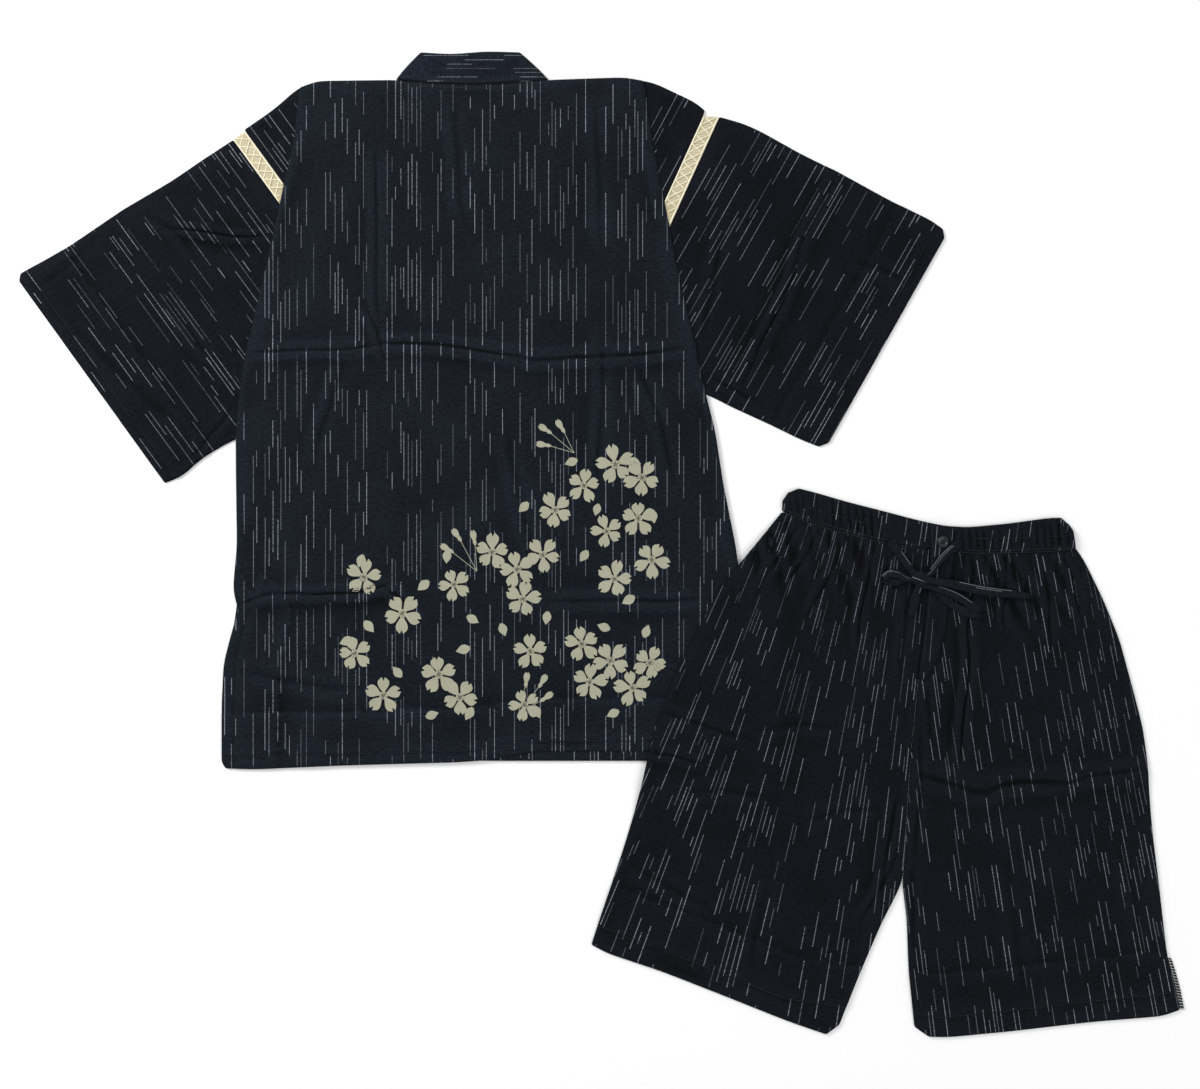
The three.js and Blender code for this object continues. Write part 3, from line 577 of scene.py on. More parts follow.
def floats_in(n, u, v, lone, repeat):
    """Where pale warp threads float, in close groups and alone, and how brightly each shows."""
    column = n.math("FLOOR", n.math("DIVIDE", u, COLUMN))
    across = n.math("FRACT", n.math("DIVIDE", u, COLUMN))
    _, thread = n.chance(column, 3.0)
    group = n.math("FRACT", n.math("DIVIDE", u, CLUSTER))
    in_group = n.math("LESS_THAN", n.math("ABSOLUTE", n.math("SUBTRACT", group, 0.5)), CLUSTER_HALF)
    grouped = n.math("MULTIPLY", in_group, n.math("GREATER_THAN", thread[0], BARE_IN_CLUSTER))
    here = n.math("MAXIMUM", grouped, n.math("GREATER_THAN", thread[0], lone))
    group_slide, _ = n.chance(n.math("FLOOR", n.math("DIVIDE", u, CLUSTER)), 11.0)
    own_share = n.math("SUBTRACT", 1.0, n.math("MULTIPLY", in_group, 0.45))
    own_slide = n.math("MULTIPLY", thread[1], own_share)
    slide = n.math("ADD", n.math("MULTIPLY", group_slide, 0.55), own_slide)
    run = n.math("ADD", n.math("DIVIDE", v, repeat), slide)
    along = n.math("FRACT", run)
    _, dash = n.chance(column, n.math("FLOOR", run))
    length = n.between(FLOAT_LENGTH, dash[0])
    spare = n.math("SUBTRACT", 1.0, length)
    start = n.math("MULTIPLY", spare, n.math("MULTIPLY", dash[1], 0.6))
    after = n.math("GREATER_THAN", along, start)
    before = n.math("LESS_THAN", along, n.math("ADD", start, length))
    shown = n.math("GREATER_THAN", dash[2], LEFT_OUT)
    centre = n.between(PLACE_ACROSS, thread[2])
    off = n.math("MULTIPLY", n.math("ABSOLUTE", n.math("SUBTRACT", across, centre)), COLUMN)
    in_run = n.math("MULTIPLY", n.math("MULTIPLY", after, before), n.math("LESS_THAN", off, THREAD / 2))
    mask = n.math("MULTIPLY", n.math("MULTIPLY", here, shown), in_run)
    return mask, n.between(FLOAT_STRENGTH, dash[1])


def toned(colour, share):
    """The colour, darker or lighter."""
    return tuple(c * share for c in colour[:3]) + (1.0,)


def cotton(name, base, pale_strength, lone=0.42, repeat=92 * MM):
    """Crinkled dark cotton with broken pale warp floats. lone is the share of warp places that are bare
    outside the groups, and repeat is the pitch of the floats along the warp."""
    n = Nodes(name)
    vector, u, v = n.grain()
    mask, strength = floats_in(n, u, v, lone, repeat)
    # Each float is broken where the weft crosses it.
    pick = n.noise(n.squeeze(vector, 0.5), 850.0, 1.0)
    broken = n.clamped("SUBTRACT", n.math("MULTIPLY", pick, 3.0), 0.75)
    bright = n.math("MULTIPLY", broken, pale_strength)
    amount = n.clamped("MULTIPLY", n.math("MULTIPLY", mask, strength), bright)
    # The ground is blotched: broadly, as the cloth's own uneven tone, and finely, as painted shade and
    # highlight of the crinkle.
    large = n.noise(vector, 14.0, 3.0, 0.6)
    painted_crinkle_shade = n.noise(n.squeeze(vector, 0.55), 420.0, 3.0, 0.7)
    tone_and_crinkle_shade = n.math("ADD", n.math("MULTIPLY", large, 0.8), n.math("MULTIPLY", painted_crinkle_shade, 2.6))
    ground = n.mix(n.clamped("SUBTRACT", tone_and_crinkle_shade, 1.2), toned(base, 0.50), toned(base, 1.60))
    # Painted shade and highlight: the colour is darkened in the fold hollows and lightened on the ridges, by
    # how far each point lies below or above its smoothed neighbours.
    painted_fold_shading = n.add("ShaderNodeAttribute", attribute_name="painted_fold_shading").outputs["Fac"]
    shadow = n.math("SUBTRACT", 1.0, n.math("MULTIPLY", painted_fold_shading, 1.7))
    kept = n.math("MINIMUM", n.math("MAXIMUM", shadow, 0.15), 1.30)
    painted_shade_colour = n.add("ShaderNodeVectorMath", operation="SCALE")
    n.link(n.mix(amount, ground, PALE), painted_shade_colour.inputs[0])
    n.link(kept, painted_shade_colour.inputs["Scale"])
    # Relief, from the crinkle of the cloth down to its fibres, and the floats on top.
    normal = n.bump(n.noise(n.squeeze(vector, 0.25), 190.0), 0.8, 1.3 * MM)
    normal = n.bump(n.noise(n.squeeze(vector, 0.42), 520.0, 3.0, 0.62), 0.8, 0.7 * MM, normal)
    normal = n.bump(n.noise(vector, 2600.0, 1.0), 0.4, 0.15 * MM, normal)
    normal = n.bump(mask, 0.35, 0.12 * MM, normal)
    rough = n.math("ADD", 0.80, n.math("MULTIPLY", n.noise(vector, 900.0, 2.0, 0.6), 0.14))
    n.shader.inputs["Sheen Roughness"].default_value = 0.45
    n.shader.inputs["Sheen Tint"].default_value = (0.60, 0.68, 0.85, 1.0)
    return n.surface(painted_shade_colour.outputs[0], rough, normal, 0.10, 0.02)


def sewing_thread(name, colour):
    n = Nodes(name)
    twist = n.noise(n.place(), 1500.0)
    return n.surface(n.mix(twist, toned(colour, 0.8), colour), 0.75, n.bump(twist, 0.5, 0.1 * MM), 0.5, 0.15)


def lace_braid():
    n = Nodes("ecru_lace")
    vector, u, v = n.grain()
    fine = n.noise(vector, 1600.0)
    shade = n.math("ADD", n.math("MULTIPLY", fine, 0.6), n.math("MULTIPLY", n.noise(vector, 90.0), 0.4))
    across = n.math("SINE", n.math("MULTIPLY", u, 2 * math.pi / (0.9 * MM)))
    along = n.math("SINE", n.math("MULTIPLY", v, 2 * math.pi / (1.1 * MM)))
    normal = n.bump(fine, 0.4, 0.15 * MM, n.bump(n.math("MULTIPLY", across, along), 0.5, 0.2 * MM))
    return n.surface(n.mix(shade, linear(158, 146, 112), linear(206, 196, 164)), 0.88, normal, 0.5, 0.2)


def printing_ink():
    n = Nodes("blossom_ink")
    weave = n.noise(n.squeeze(n.place(), 0.5), 900.0, 3.0, 0.65)
    slow = n.noise(n.place(), 60.0)
    shade = n.math("ADD", n.math("MULTIPLY", weave, 0.7), n.math("MULTIPLY", slow, 0.3))
    colour = n.mix(shade, linear(132, 133, 112), linear(176, 175, 155))
    return n.surface(colour, 0.7, n.bump(weave, 0.6, 0.3 * MM), 0.3)


def dark_horn():
    n = Nodes("dark_button")
    swirl = n.mix(n.noise(n.place(), 260.0, 3.0), linear(5, 6, 8), linear(14, 16, 19))
    return n.surface(swirl, 0.22, n.bump(n.noise(n.place(), 1200.0), 0.1, 0.05 * MM), 0.30)


PALE = linear(168, 174, 186)
body_cotton = cotton("navy_cotton_top", linear(16, 21, 28), 1.1)
collar_cotton = cotton("navy_cotton_collar", linear(18, 23, 31), 0.7, -0.1)
sleeve_cotton = cotton("navy_cotton_sleeves", linear(10, 13, 19), 0.95)
shorts_cotton = cotton("navy_cotton_shorts", linear(10, 14, 19), 0.90, 0.38, 74 * MM)
drawstring_cotton = cotton("navy_cotton_drawstring", linear(16, 21, 26), 0.85)
dark_thread = sewing_thread("navy_thread", linear(11, 14, 20))
pale_thread = sewing_thread("pale_warp_thread", linear(104, 108, 114))
white_thread = sewing_thread("overlock_thread", linear(206, 208, 204))
lace_thread = sewing_thread("lace_thread", linear(240, 233, 206))
centre_ink = sewing_thread("blossom_centre_ink", linear(58, 58, 46))
lace_cloth = lace_braid()
blossom_ink = printing_ink()
horn = dark_horn()
# A lighter copy of the horn for the rings of the button's face: a painted highlight.
painted_highlight_horn = Nodes("dark_button_painted_highlight").surface(linear(42, 45, 50), 0.2)

# ---- creases, by piece, in layout millimetres ----------------------------
# Each row is a crease's two ends, x0, y0, x1, y1, then its bow to one side, its height and its width.
BACK_CREASES = [
    (-372, 203, -225, 210, 3, 1.1, 4.5),
    (-236, 212, -60, 193, -4, 1.4, 5.0),
    (-90, 194, 98, 208, 4, 1.1, 5.5),
    (-378, -62, -300, -50, -4, 1.2, 4.5),
    (-316, -51, -212, -39, 6, 1.7, 4.2),
    (-228, -42, -186, -82, -3, 0.9, 4.5),
    (-60, -57, 118, -55, 3, 0.9, 6.0),
    (-232, 420, -229, 212, 3, 0.8, 5.0),
    (-243, 250, -222, 190, 0, 0.8, 4.5),
    (4, 230, -3, 60, -2, 0.6, 6.0),
    (-2, 470, 4, 300, 2, 0.45, 6.5),
    (-262, 196, -300, 80, 4, 0.6, 7.0),
    (40, 190, 80, 60, -4, 0.6, 7.0),
    (-150, 470, -140, 330, 4, 0.5, 7.0),
    (-96, 130, -60, -30, 6, 0.5, 8.0),
    (-370, -130, -250, -150, 5, 0.5, 8.0),
    (-320, 440, -346, 330, -3, 0.7, 5.0),
    (52, 440, 74, 330, 3, 0.7, 5.0),
]
SLEEVE_LEFT_CREASES = [
    (-448, 333, -345, 323, 3, 2.0, 3.6),
    (-470, 345, -420, 300, -4, 0.6, 6.0),
    (-560, 240, -430, 120, 5, 0.5, 9.0),
    (-455, 268, -398, 190, 6, 0.7, 6.0),
    (-520, 330, -600, 260, -3, 0.4, 7.0),
    (-430, 90, -382, 150, 3, 0.8, 5.0),
]
SLEEVE_RIGHT_CREASES = [
    (252, 392, 200, 285, 2, 1.3, 4.5),
    (214, 312, 146, 162, -3, 1.9, 4.4),
    (132, 330, 110, 210, 3, 0.7, 7.0),
    (262, 300, 330, 270, -3, 0.5, 7.0),
    (120, 176, 170, 150, 3, 0.9, 4.5),
]
RIGHT_LEG_CREASES = [
    (214, 26, 158, -66, 3, 1.0, 4.5),
    (232, 16, 196, -46, 0, 0.9, 3.6),
    (258, 12, 214, -84, -3, 1.1, 4.5),
    (290, 4, 270, -112, 2, 1.5, 4.0),
    (305, -12, 292, -70, 0, 0.9, 3.4),
    (326, -44, 316, -150, 2, 0.7, 5.0),
    (66, -172, 168, -204, 4, 0.7, 6.0),
    (158, -196, 252, -190, -4, 0.5, 7.0),
    (54, -216, 112, -228, 1, 1.0, 4.0),
    (80, -258, 186, -266, -4, 0.5, 7.5),
    (212, -290, 298, -276, -3, 0.45, 7.0),
    (314, -262, 296, -392, 4, 1.3, 5.5),
    (322, -290, 270, -400, -6, 1.0, 4.5),
    (30, -330, 120, -380, 4, 0.5, 8.0),
    (180, -350, 160, -450, 4, 0.4, 8.0),
]
LEFT_LEG_CREASES = [
    (394, -20, 386, -120, 2, 1.6, 4.0),
    (388, -96, 376, -236, -2, 2.3, 4.2),
    (412, -10, 406, -64, 0, 1.0, 3.5),
    (428, -10, 424, -92, 1, 1.0, 3.8),
    (446, -10, 448, -70, 0, 1.0, 3.6),
    (464, -10, 474, -118, -2, 1.1, 4.2),
    (486, -8, 506, -82, -2, 1.0, 4.0),
    (326, -236, 424, -262, 4, 1.1, 8.5),
    (400, -258, 500, -250, -5, 1.4, 8.0),
    (480, -252, 576, -234, -2, 1.0, 7.0),
    (336, -200, 330, -330, -3, 0.9, 5.5),
    (330, -330, 334, -440, 4, 0.8, 6.0),
    (430, -320, 452, -480, 6, 0.4, 9.0),
    (540, -300, 570, -440, -5, 0.4, 9.0),
    (346, -150, 352, -215, 3, 0.7, 5.0),
]
COLLAR_CREASES = [
    (-190, 502, -84, 501, -1, 0.25, 2.4),
    (-186, 513, -180, 492, 0, 0.35, 2.4),
]
FLY_CREASES = [
    (350, -12, 343, -60, 1, 0.5, 3.0),
]

# The waist seam, x and y from the right side to the left.
WAIST_SEAM = [
    (192, 35), (221, 23), (256, 13), (288, 5), (310, 0),
    (348, -5), (397, -9), (442, -8), (488, -6), (500, -3),
]


def seam_height(x):
    """Y of the waist seam at x, in layout millimetres."""
    return np.interp(x, [p[0] for p in WAIST_SEAM], [p[1] for p in WAIST_SEAM])


def gathers(x, pitch, seed):
    """Uneven ripples across the gathered cloth."""
    drift = 2.3 * np.sin(x / 21.0 + seed) + 1.6 * np.sin(x / 9.7 + 2 * seed)
    tall = 0.65 + 0.35 * np.sin(x / 17.0 + 3 * seed)
    return tall * np.cos(2 * math.pi * (x + drift) / pitch)


def plain_middle(x):
    """1 where the band and legs are gathered, 0 across the flat middle front."""
    return 1 - smooth_step(286, 300, x) * (1 - smooth_step(372, 388, x))


# Inner lines of the turned hems, in layout millimetres, each with its hem on the right of its run.
HEM_LINES = {
    "back": [
        [(150, -206), (-60, -206), (-98, -211), (-130, -216), (-200, -218), (-392, -222)],
        [(-382, -230), (-382, -165), (-380, -120), (-368, -74)],
    ],
    "sleeve_left": [[(-446, 73), (-496, 140), (-536, 198), (-594, 277)]],
    "sleeve_right": [[(348, 324), (308, 250), (248, 150), (225, 110)]],
    "shorts_front_right": [[(262, -486), (195, -476), (130, -450), (66, -425), (-2, -400)]],
    "shorts_front_left": [[(605, -470), (516, -479), (430, -489), (356, -496), (329, -492)]],
}
HEM_RISE = 0.55  # a hem is doubled, so it stands up from the cloth beside it
HEM_REACH = 45  # no hem is wider than this


def hem_height(lines, x, y):
    """Rise of the doubled hems, with a small furrow along the stitching."""
    lift = np.zeros(len(x))
    here = np.column_stack([x, y])
    for line in lines:
        a = np.array(line, float)
        best, signed = np.full(len(x), 1e9), np.zeros(len(x))
        for start, stop in zip(a[:-1], a[1:]):
            d = stop - start
            t = np.clip(((here - start) @ d) / (d @ d), 0, 1)
            gap = here - start - t[:, None] * d
            away = np.hypot(*gap.T)
            cross = gap[:, 0] * d[1] - gap[:, 1] * d[0]
            closer = away < best
            best = np.where(closer, away, best)
            signed = np.where(closer, np.sign(cross) * away, signed)
        furrow = 0.35 * np.exp(-((signed / 1.3) ** 2))
        lift += HEM_RISE * smooth_step(-1.0, 1.4, signed) * (best < HEM_REACH) - furrow
    return lift


def hem_places(lines):
    """Places along the hems' stitching."""
    places = []
    for line in lines:
        for a, b in zip(line, line[1:]):
            places += line_places(a, b, (-1.6, -0.6, 0.4, 1.6))
    return places


def lift_of(creases, waves, wave=95.0, seed=1, hems=()):
    def lift(x, y, away):
        calm = smooth_step(0.0, 9 * MM, away)
        folds = crease_height(creases, x, y) * (0.35 + 0.65 * calm)
        return folds + rumple(x, y, waves, wave, seed) * calm + hem_height(hems, x, y)
    return lift


def leg_lift(creases, seed, hems):
    plain = lift_of(creases, 0.7, 90.0, seed, hems)

    def lift(x, y, away):
        below = seam_height(x) - y
        near = np.exp(-np.clip(below - 2, 0, None) / 24.0) * plain_middle(x)
        far = np.exp(-((below - 30) / 42.0) ** 2) * plain_middle(x)
        small = 1.15 * near * gathers(x, 9.5, seed)
        broad = 1.1 * far * gathers(x * (1 - 0.0012 * below), 23.0, seed + 2)
        return plain(x, y, away) + (small + broad) * smooth_step(0.0, 4 * MM, away)
    return lift


def fly_lift(x, y, away):
    """The flap stands a little off the legs' creases under it."""
    return 0.6 + lift_of(FLY_CREASES, 0.25, 40, 3)(x, y, away)


def waist_lift(x, y, away):
    up = np.clip((y - seam_height(x)) / 28.0, 0, 1)
    puff = 0.9 * np.sin(math.pi * up)
    body = np.clip(np.sin(math.pi * np.clip(up * 1.1 - 0.02, 0, 1)), 0, 1) ** 0.5
    ripple = (1.05 * gathers(x + 2.5 * up, 8.4, 1.3) + 0.4 * gathers(x, 5.3, 4.1)) * plain_middle(x)
    ends = smooth_step(0.0, 5 * MM, away)
    channel = -0.35 * np.exp(-((up - 0.52) / 0.07) ** 2) * plain_middle(x)
    return puff + (ripple * (0.45 + 0.55 * body) + channel) * ends


# ---- making the pieces ---------------------------------------------------
FINE = 3.4 * MM
BROAD = 4.2 * MM
COARSE = 9 * MM
ALLOWANCE_HALF = 3.0  # half the width of the waist seam's allowance, in mm
pieces = {}


def shell_object(name, cloth, material, grain):
    points, faces = cloth.shell(CLOTH)
    painted_fold_shading = np.concatenate([cloth.painted_fold_shading, np.zeros(len(cloth.painted_fold_shading))])
    return make_object(name, points, faces, material, grain, painted_fold_shading=painted_fold_shading)


def ride_on(obj):
    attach(obj, "root")
    return obj


def declare(piece, node):
    """Rides, replaces its solid, and is kept under its node's name."""
    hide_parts(node)
    ride_on(piece)
    pieces[node] = piece


def make_panel(node, grain, lift=None, spacing=COARSE, drop=1.1 * MM, seed=0, creases=(),
               material=body_cotton):
    """A panel of one thickness of cloth."""
    cloth = Cloth(upper_faces(node)[0], spacing, lift, drop=drop, floor=0.0, seed=seed, creases=creases,
                  hems=HEM_LINES.get(node, ()))
    piece = shell_object(node + "_cloth", cloth, material, grain)
    declare(piece, node)


def make_tube(node, grain, lift, spacing, material,
              seed=0, drop=1.5 * MM, creases=()):
    """A flattened tube: an upper sheet rolled down at its folds, and the sheet under it."""
    surfaces = upper_faces(node)
    top = max((s for s in surfaces if s["area"] > 0.4 * surfaces[0]["area"]), key=lambda s: s["z"])
    cloth = Cloth(top, spacing, lift, drop=drop, floor=0.0, seed=seed, creases=creases,
                  hems=HEM_LINES.get(node, ()))
    upper = shell_object(node + "_upper", cloth, material, grain)
    under = Cloth(top, COARSE, drop=0.0, roll=1.2 * MM, smooth=0, floor=0.0, seed=seed)
    under.z = np.full(len(under.z), CLOTH)
    lower = shell_object(node + "_lower", under, material, grain)
    piece = join_objects(node + "_cloth", [upper, lower])
    declare(piece, node)


# Top: what lies lowest first.
make_panel("front_left", straight_grain(0, 11), seed=1)
make_panel("front_right", straight_grain(0, 37), seed=2)
for side, flat, grain, creases, waves, seed in (
    ("left", (540, 296), straight_grain(36, 22), SLEEVE_LEFT_CREASES, 5, 3),
    ("right", (550, 290), straight_grain(-29.6, 9), SLEEVE_RIGHT_CREASES, 7, 4),
):
    sleeve = "sleeve_" + side
    lift = lift_of(creases, 0.7, 90, waves, HEM_LINES[sleeve])
    make_tube(sleeve, grain, lift, FINE, sleeve_cotton, seed=seed, creases=creases)
for side, length, turn, seed in (("left", 532, 36, 5), ("right", 544, -24.4, 6)):
    make_tube("lace_" + side, straight_grain(turn), None, 2.5 * MM, lace_cloth,
              seed, 0.9 * MM)


def make_back():
    surfaces = upper_faces("back")
    hems = HEM_LINES["back"]
    lift = lift_of(BACK_CREASES, 0.8, 110, 11, hems)
    main = Cloth(surfaces[0], BROAD, lift, drop=1.5 * MM, seed=7, creases=BACK_CREASES, hems=hems)
    parts = [shell_object("back_main", main, body_cotton, straight_grain(0, 4))]
    wings = sorted(surfaces[1:3], key=lambda s: s["loop"][0].x)
    for wing, turn, slide in zip(wings, (36, -28), (57, 31)):
        cloth = Cloth(wing, FINE, lift_of([], 0.5, 60, 12), drop=1.0 * MM, seed=8)
        # The wings take the darker sleeve cotton as painted shade, where they lie under the back's folded
        # edges.
        parts.append(shell_object("back_wing", cloth, sleeve_cotton, straight_grain(turn, slide)))
    piece = join_objects("back_cloth", parts)
    declare(piece, "back")


def make_collar():
    surfaces = [s for s in upper_faces("collar") if s["area"] > 5e-4]
    neck = max(surfaces, key=lambda s: s["z"])
    lift = lift_of(COLLAR_CREASES, 0.3, 40, 13)
    cloth = Cloth(neck, 2.6 * MM, lift, drop=1.6 * MM, roll=4 * MM, seed=9)
    parts = [shell_object("collar_neck", cloth, collar_cotton, straight_grain(90, 15))]
    for surface in surfaces:
        if surface is not neck:
            run = Cloth(surface, COARSE, drop=0.5 * MM, floor=0.0, seed=10)
            turn = -27 if surface["z"] > 0.002 else 27
            parts.append(shell_object("collar_run", run, body_cotton, straight_grain(turn)))
    piece = join_objects("collar_cloth", parts)
    declare(piece, "collar")


make_back()
make_collar()
for tie in ("tie_front", "tie_side"):
    make_panel(tie, straight_grain(0, 5), spacing=4 * MM, drop=0.5 * MM, seed=11)

# Shorts: each leg's back, then its front.
RIGHT_FAN = fanned_grain(404, 567, 800, 18)
LEFT_FAN = fanned_grain(-92, 3032, 3420, 6)
make_panel("shorts_back_right", RIGHT_FAN, seed=12)
make_panel("shorts_back_left", LEFT_FAN, seed=13)
for side, grain, creases, gather_seed, seed in (
    ("right", RIGHT_FAN, RIGHT_LEG_CREASES, 1.7, 14),
    ("left", LEFT_FAN, LEFT_LEG_CREASES, 2.9, 15),
):
    leg = "shorts_front_" + side
    lift = leg_lift(creases, gather_seed, HEM_LINES[leg])
    make_panel(leg, grain, lift, FINE, seed=seed, creases=creases,
               material=shorts_cotton)
make_panel("side_seam_allowance", straight_grain(14), None, 2 * MM, 0.3 * MM, 16)
make_tube("waistband", straight_grain(-9, 6), waist_lift, 2.0 * MM, shorts_cotton, seed=17)
make_panel("fly_flap", straight_grain(-5, 26),
           fly_lift, 2.4 * MM, 0.9 * MM, 18, FLY_CREASES, shorts_cotton)


def heading_at(points, i):
    """Direction of a run of points at one of them."""
    return (points[min(i + 1, len(points) - 1)] - points[max(i - 1, 0)]).normalized()


def make_waist_allowance():
    """The turned allowance behind the waist seam, which closes the line between band and legs."""
    places = [at(x, float(seam_height(x)) - 0.4).to_2d() for x in range(194, 502, 6)]
    points, faces = [], []
    for i, p in enumerate(places):
        ahead = heading_at(places, i)
        side = Vector((-ahead.y, ahead.x)) * ALLOWANCE_HALF * MM
        for off, z in ((1, 1.7), (-1, 1.7), (-1, 1.3), (1, 1.3)):
            q = p + side * off
            points.append((q.x, q.y, z * MM))
    for i in range(len(places) - 1):
        for k in range(4):
            a, b = 4 * i + k, 4 * i + (k + 1) % 4
            faces.append((a, a + 4, b + 4, b))
    n = 4 * (len(places) - 1)
    faces += [(0, 1, 2, 3), (n + 3, n + 2, n + 1, n)]
    piece = make_object("waist_seam_allowance", points, faces, dark_thread, straight_grain(0), 20)
    ride_on(piece)


make_waist_allowance()


# ---- what lies on the cloth ----------------------------------------------
def tree_of(node):
    """Tree of the faces of the piece that stands for a node."""
    mesh = pieces[node].data
    corners = [v.co.copy() for v in mesh.vertices]
    return BVHTree.FromPolygons(corners, [tuple(p.vertices) for p in mesh.polygons])


def surface_z(tree, x, y, otherwise=0.003):
    """Height of the cloth at a frame place."""
    hit = tree.ray_cast(Vector((x, y, 1.0)), Vector((0, 0, -1)))[0]
    return otherwise if hit is None else hit.z


# Blossom print: five notched petals, loose petals, and buds on thin stems.
PETALS = 5
INK_STEP = 2.6 * MM  # between the places of a printed shape
# Open blossoms: x, y, radius and turn, in layout millimetres and degrees.
BLOSSOMS = [
    (-246, -34, 18, 8), (-256, -114, 17, 30), (-206, -72, 19, 50), (-226, -158, 18, 14),
    (-168, -136, 19, 22), (-146, -160, 18, 58), (-152, -42, 16, 41),
    (-112, -8, 18, 12), (-86, -26, 18, 33), (-59, -11, 17, 57), (-80, -57, 18, 5),
    (-72, -112, 18, 20), (-46, 36, 18, 46), (-16, 62, 17, 9), (17, 84, 19, 28), (45, 70, 18, 52),
    (41, 27, 18, 18), (8, 14, 16, 37), (55, -16, 18, 60), (16, -36, 18, 3),
    (-18, -104, 18, 26), (12, -122, 19, 48), (-10, -144, 18, 11), (35, -150, 18, 30),
    (53, -124, 17, 66), (-78, -168, 16, 40),
]
# Loose petals: x, y, length and heading.
LOOSE_PETALS = [
    (-272, -104, 13, 20), (-252, -24, 12, 70), (-236, -92, 13, 130), (-216, -128, 12, 310),
    (-190, -48, 13, 40), (-160, -20, 12, 85), (-150, -112, 13, 15), (-168, -176, 12, 200),
    (-126, -82, 12, 150), (-140, -184, 13, 60), (-98, -96, 12, 110), (-84, 34, 12, 45),
    (-36, 84, 12, 20), (-4, 30, 11, 75), (44, 84, 12, 160), (58, 22, 12, 100),
    (-20, -18, 12, 55), (24, -62, 13, 30), (52, -84, 12, 250), (-2, -84, 12, 340),
    (-56, -84, 12, 80), (-62, -182, 12, 115), (8, -180, 12, 25), (56, -120, 12, 300),
]
# Bud sprays: x and y of the foot, heading, and the lengths of the stems.
BUD_SPRAYS = [
    (-128, -28, 118, (30, 38, 34)), (-84, -176, 52, (28, 36, 30)), (-26, 96, 140, (26, 34, 28)),
]


def petal_edge(length, width, notch):
    """Outline of one petal from its foot, round its broad notched tip, and back."""
    side = []
    for k in range(9):
        t = 0.105 * k
        swell = math.sin(math.pi * min(1.0, t * 0.84 + 0.03)) ** 0.9 * (0.42 + 0.62 * t)
        side.append((length * t, width * swell))
    tip = ((0.95, 0.45), (1.04, 0.27), (1.02, 0.20))
    left = side + [(length * x, width * y) for x, y in tip]
    return left + [(length * (1 - notch), 0.0)] + [(x, -y) for x, y in reversed(left)]


def loose_edge(length):
    """Outline of a fallen petal: an almond with a small notch in its tip."""
    shares = [k / 9 for k in range(9)]
    side = [(length * t, 0.31 * length * math.sin(math.pi * t ** 1.15) ** 0.95) for t in shares]
    left = side + [(length * 0.98, length * 0.055)]
    return left + [(length * 0.89, 0.0)] + [(x, -y) for x, y in reversed(left[1:])]


def turned(points, x, y, degrees):
    c, s = math.cos(math.radians(degrees)), math.sin(math.radians(degrees))
    return [(x + px * c - py * s, y + px * s + py * c) for px, py in points]


def blossom_edge(x, y, radius, turn, draw):
    """One outline round all five petals, which differ a little, as drawn by hand."""
    run = []
    foot = radius * 0.13
    for k in range(PETALS):
        reach = radius * draw.uniform(0.90, 1.10) - foot
        petal = petal_edge(reach, radius * draw.uniform(0.40, 0.47), draw.uniform(0.16, 0.23))
        shifted = [(px + foot, py) for px, py in petal if px + foot > radius * 0.19]
        run += turned(shifted, x, y, turn - 360 / PETALS * k + draw.uniform(-4, 4))
    return run


def bud_edges(x, y, heading, lengths):
    """Outlines of a spray's stems, buds and caps, each with its height on the cloth in mm."""
    edges = []
    for k, length in enumerate(lengths):
        way = heading + (k - 1) * 24
        tip = turned([(length, 0)], x, y, way)[0]
        stem = [(length * i / 6, 0.28) for i in range(7)]
        stem += [(along, -wide) for along, wide in stem[::-1]]
        cap = [(-3, 0.6), (0, 2.0), (3.4, 1.6), (3.4, -1.6), (0, -2.0), (-3, -0.6)]
        edges.append((turned(stem, x, y, way), 0.12))
        edges.append((turned(petal_edge(13, 4.2, 0.10), *tip, way + 7), 0.14))
        edges.append((turned(cap, *tip, way + 7), 0.16))
    return edges


def film(run, tree, raise_by):
    """Ink inside an outline in layout millimetres, lying on the cloth."""
    outline = np.array([tuple(at(x, y).to_2d()) for x, y in run])
    low, high = outline.min(0), outline.max(0)
    across, up = ((high - low) / INK_STEP).astype(int) + 1
    inner = np.array([low + np.array([i, j]) * INK_STEP for i in range(across) for j in range(up)])
    inner = inner[distance_to_run(inner, outline) > 0.9 * MM]
    plan, faces = fill_outline(outline, inner)
    points = [(x, y, surface_z(tree, x, y) + raise_by) for x, y in plan]
    return points, faces


def collect(parts):
    points, faces = [], []
    for p, f in parts:
        base = len(points)
        points += p
        faces += [tuple(i + base for i in face) for face in f]
    return points, faces


def make_print():
    tree = tree_of("back")
    ink, marks = [], []
    draw = random.Random(SEED)
    for i, (x, y, radius, turn) in enumerate(BLOSSOMS):
        layer = (0.14 + 0.05 * (i % 3)) * MM
        ink.append(film(blossom_edge(x, y, radius, turn, draw), tree, layer))
        for k in range(8):
            way, reach = turn + 45 * k + draw.uniform(-14, 14), radius * draw.uniform(0.16, 0.32)
            hair = [(0.4, 0.32), (reach, 0.22), (reach, -0.22), (0.4, -0.32)]
            marks.append(film(turned(hair, x, y, way), tree, layer + 0.12 * MM))
    for x, y, length, heading in LOOSE_PETALS:
        ink.append(film(turned(loose_edge(1.25 * length), x, y, heading), tree, 0.14 * MM))
    for spray in BUD_SPRAYS:
        ink += [film(edge, tree, up * MM) for edge, up in bud_edges(*spray)]
    ride_on(make_object("blossom_print", *collect(ink), blossom_ink))
    ride_on(make_object("blossom_centres", *collect(marks), centre_ink))


make_print()


# ---- threads and stitches ------------------------------------------------
ROD_SIDES = 6


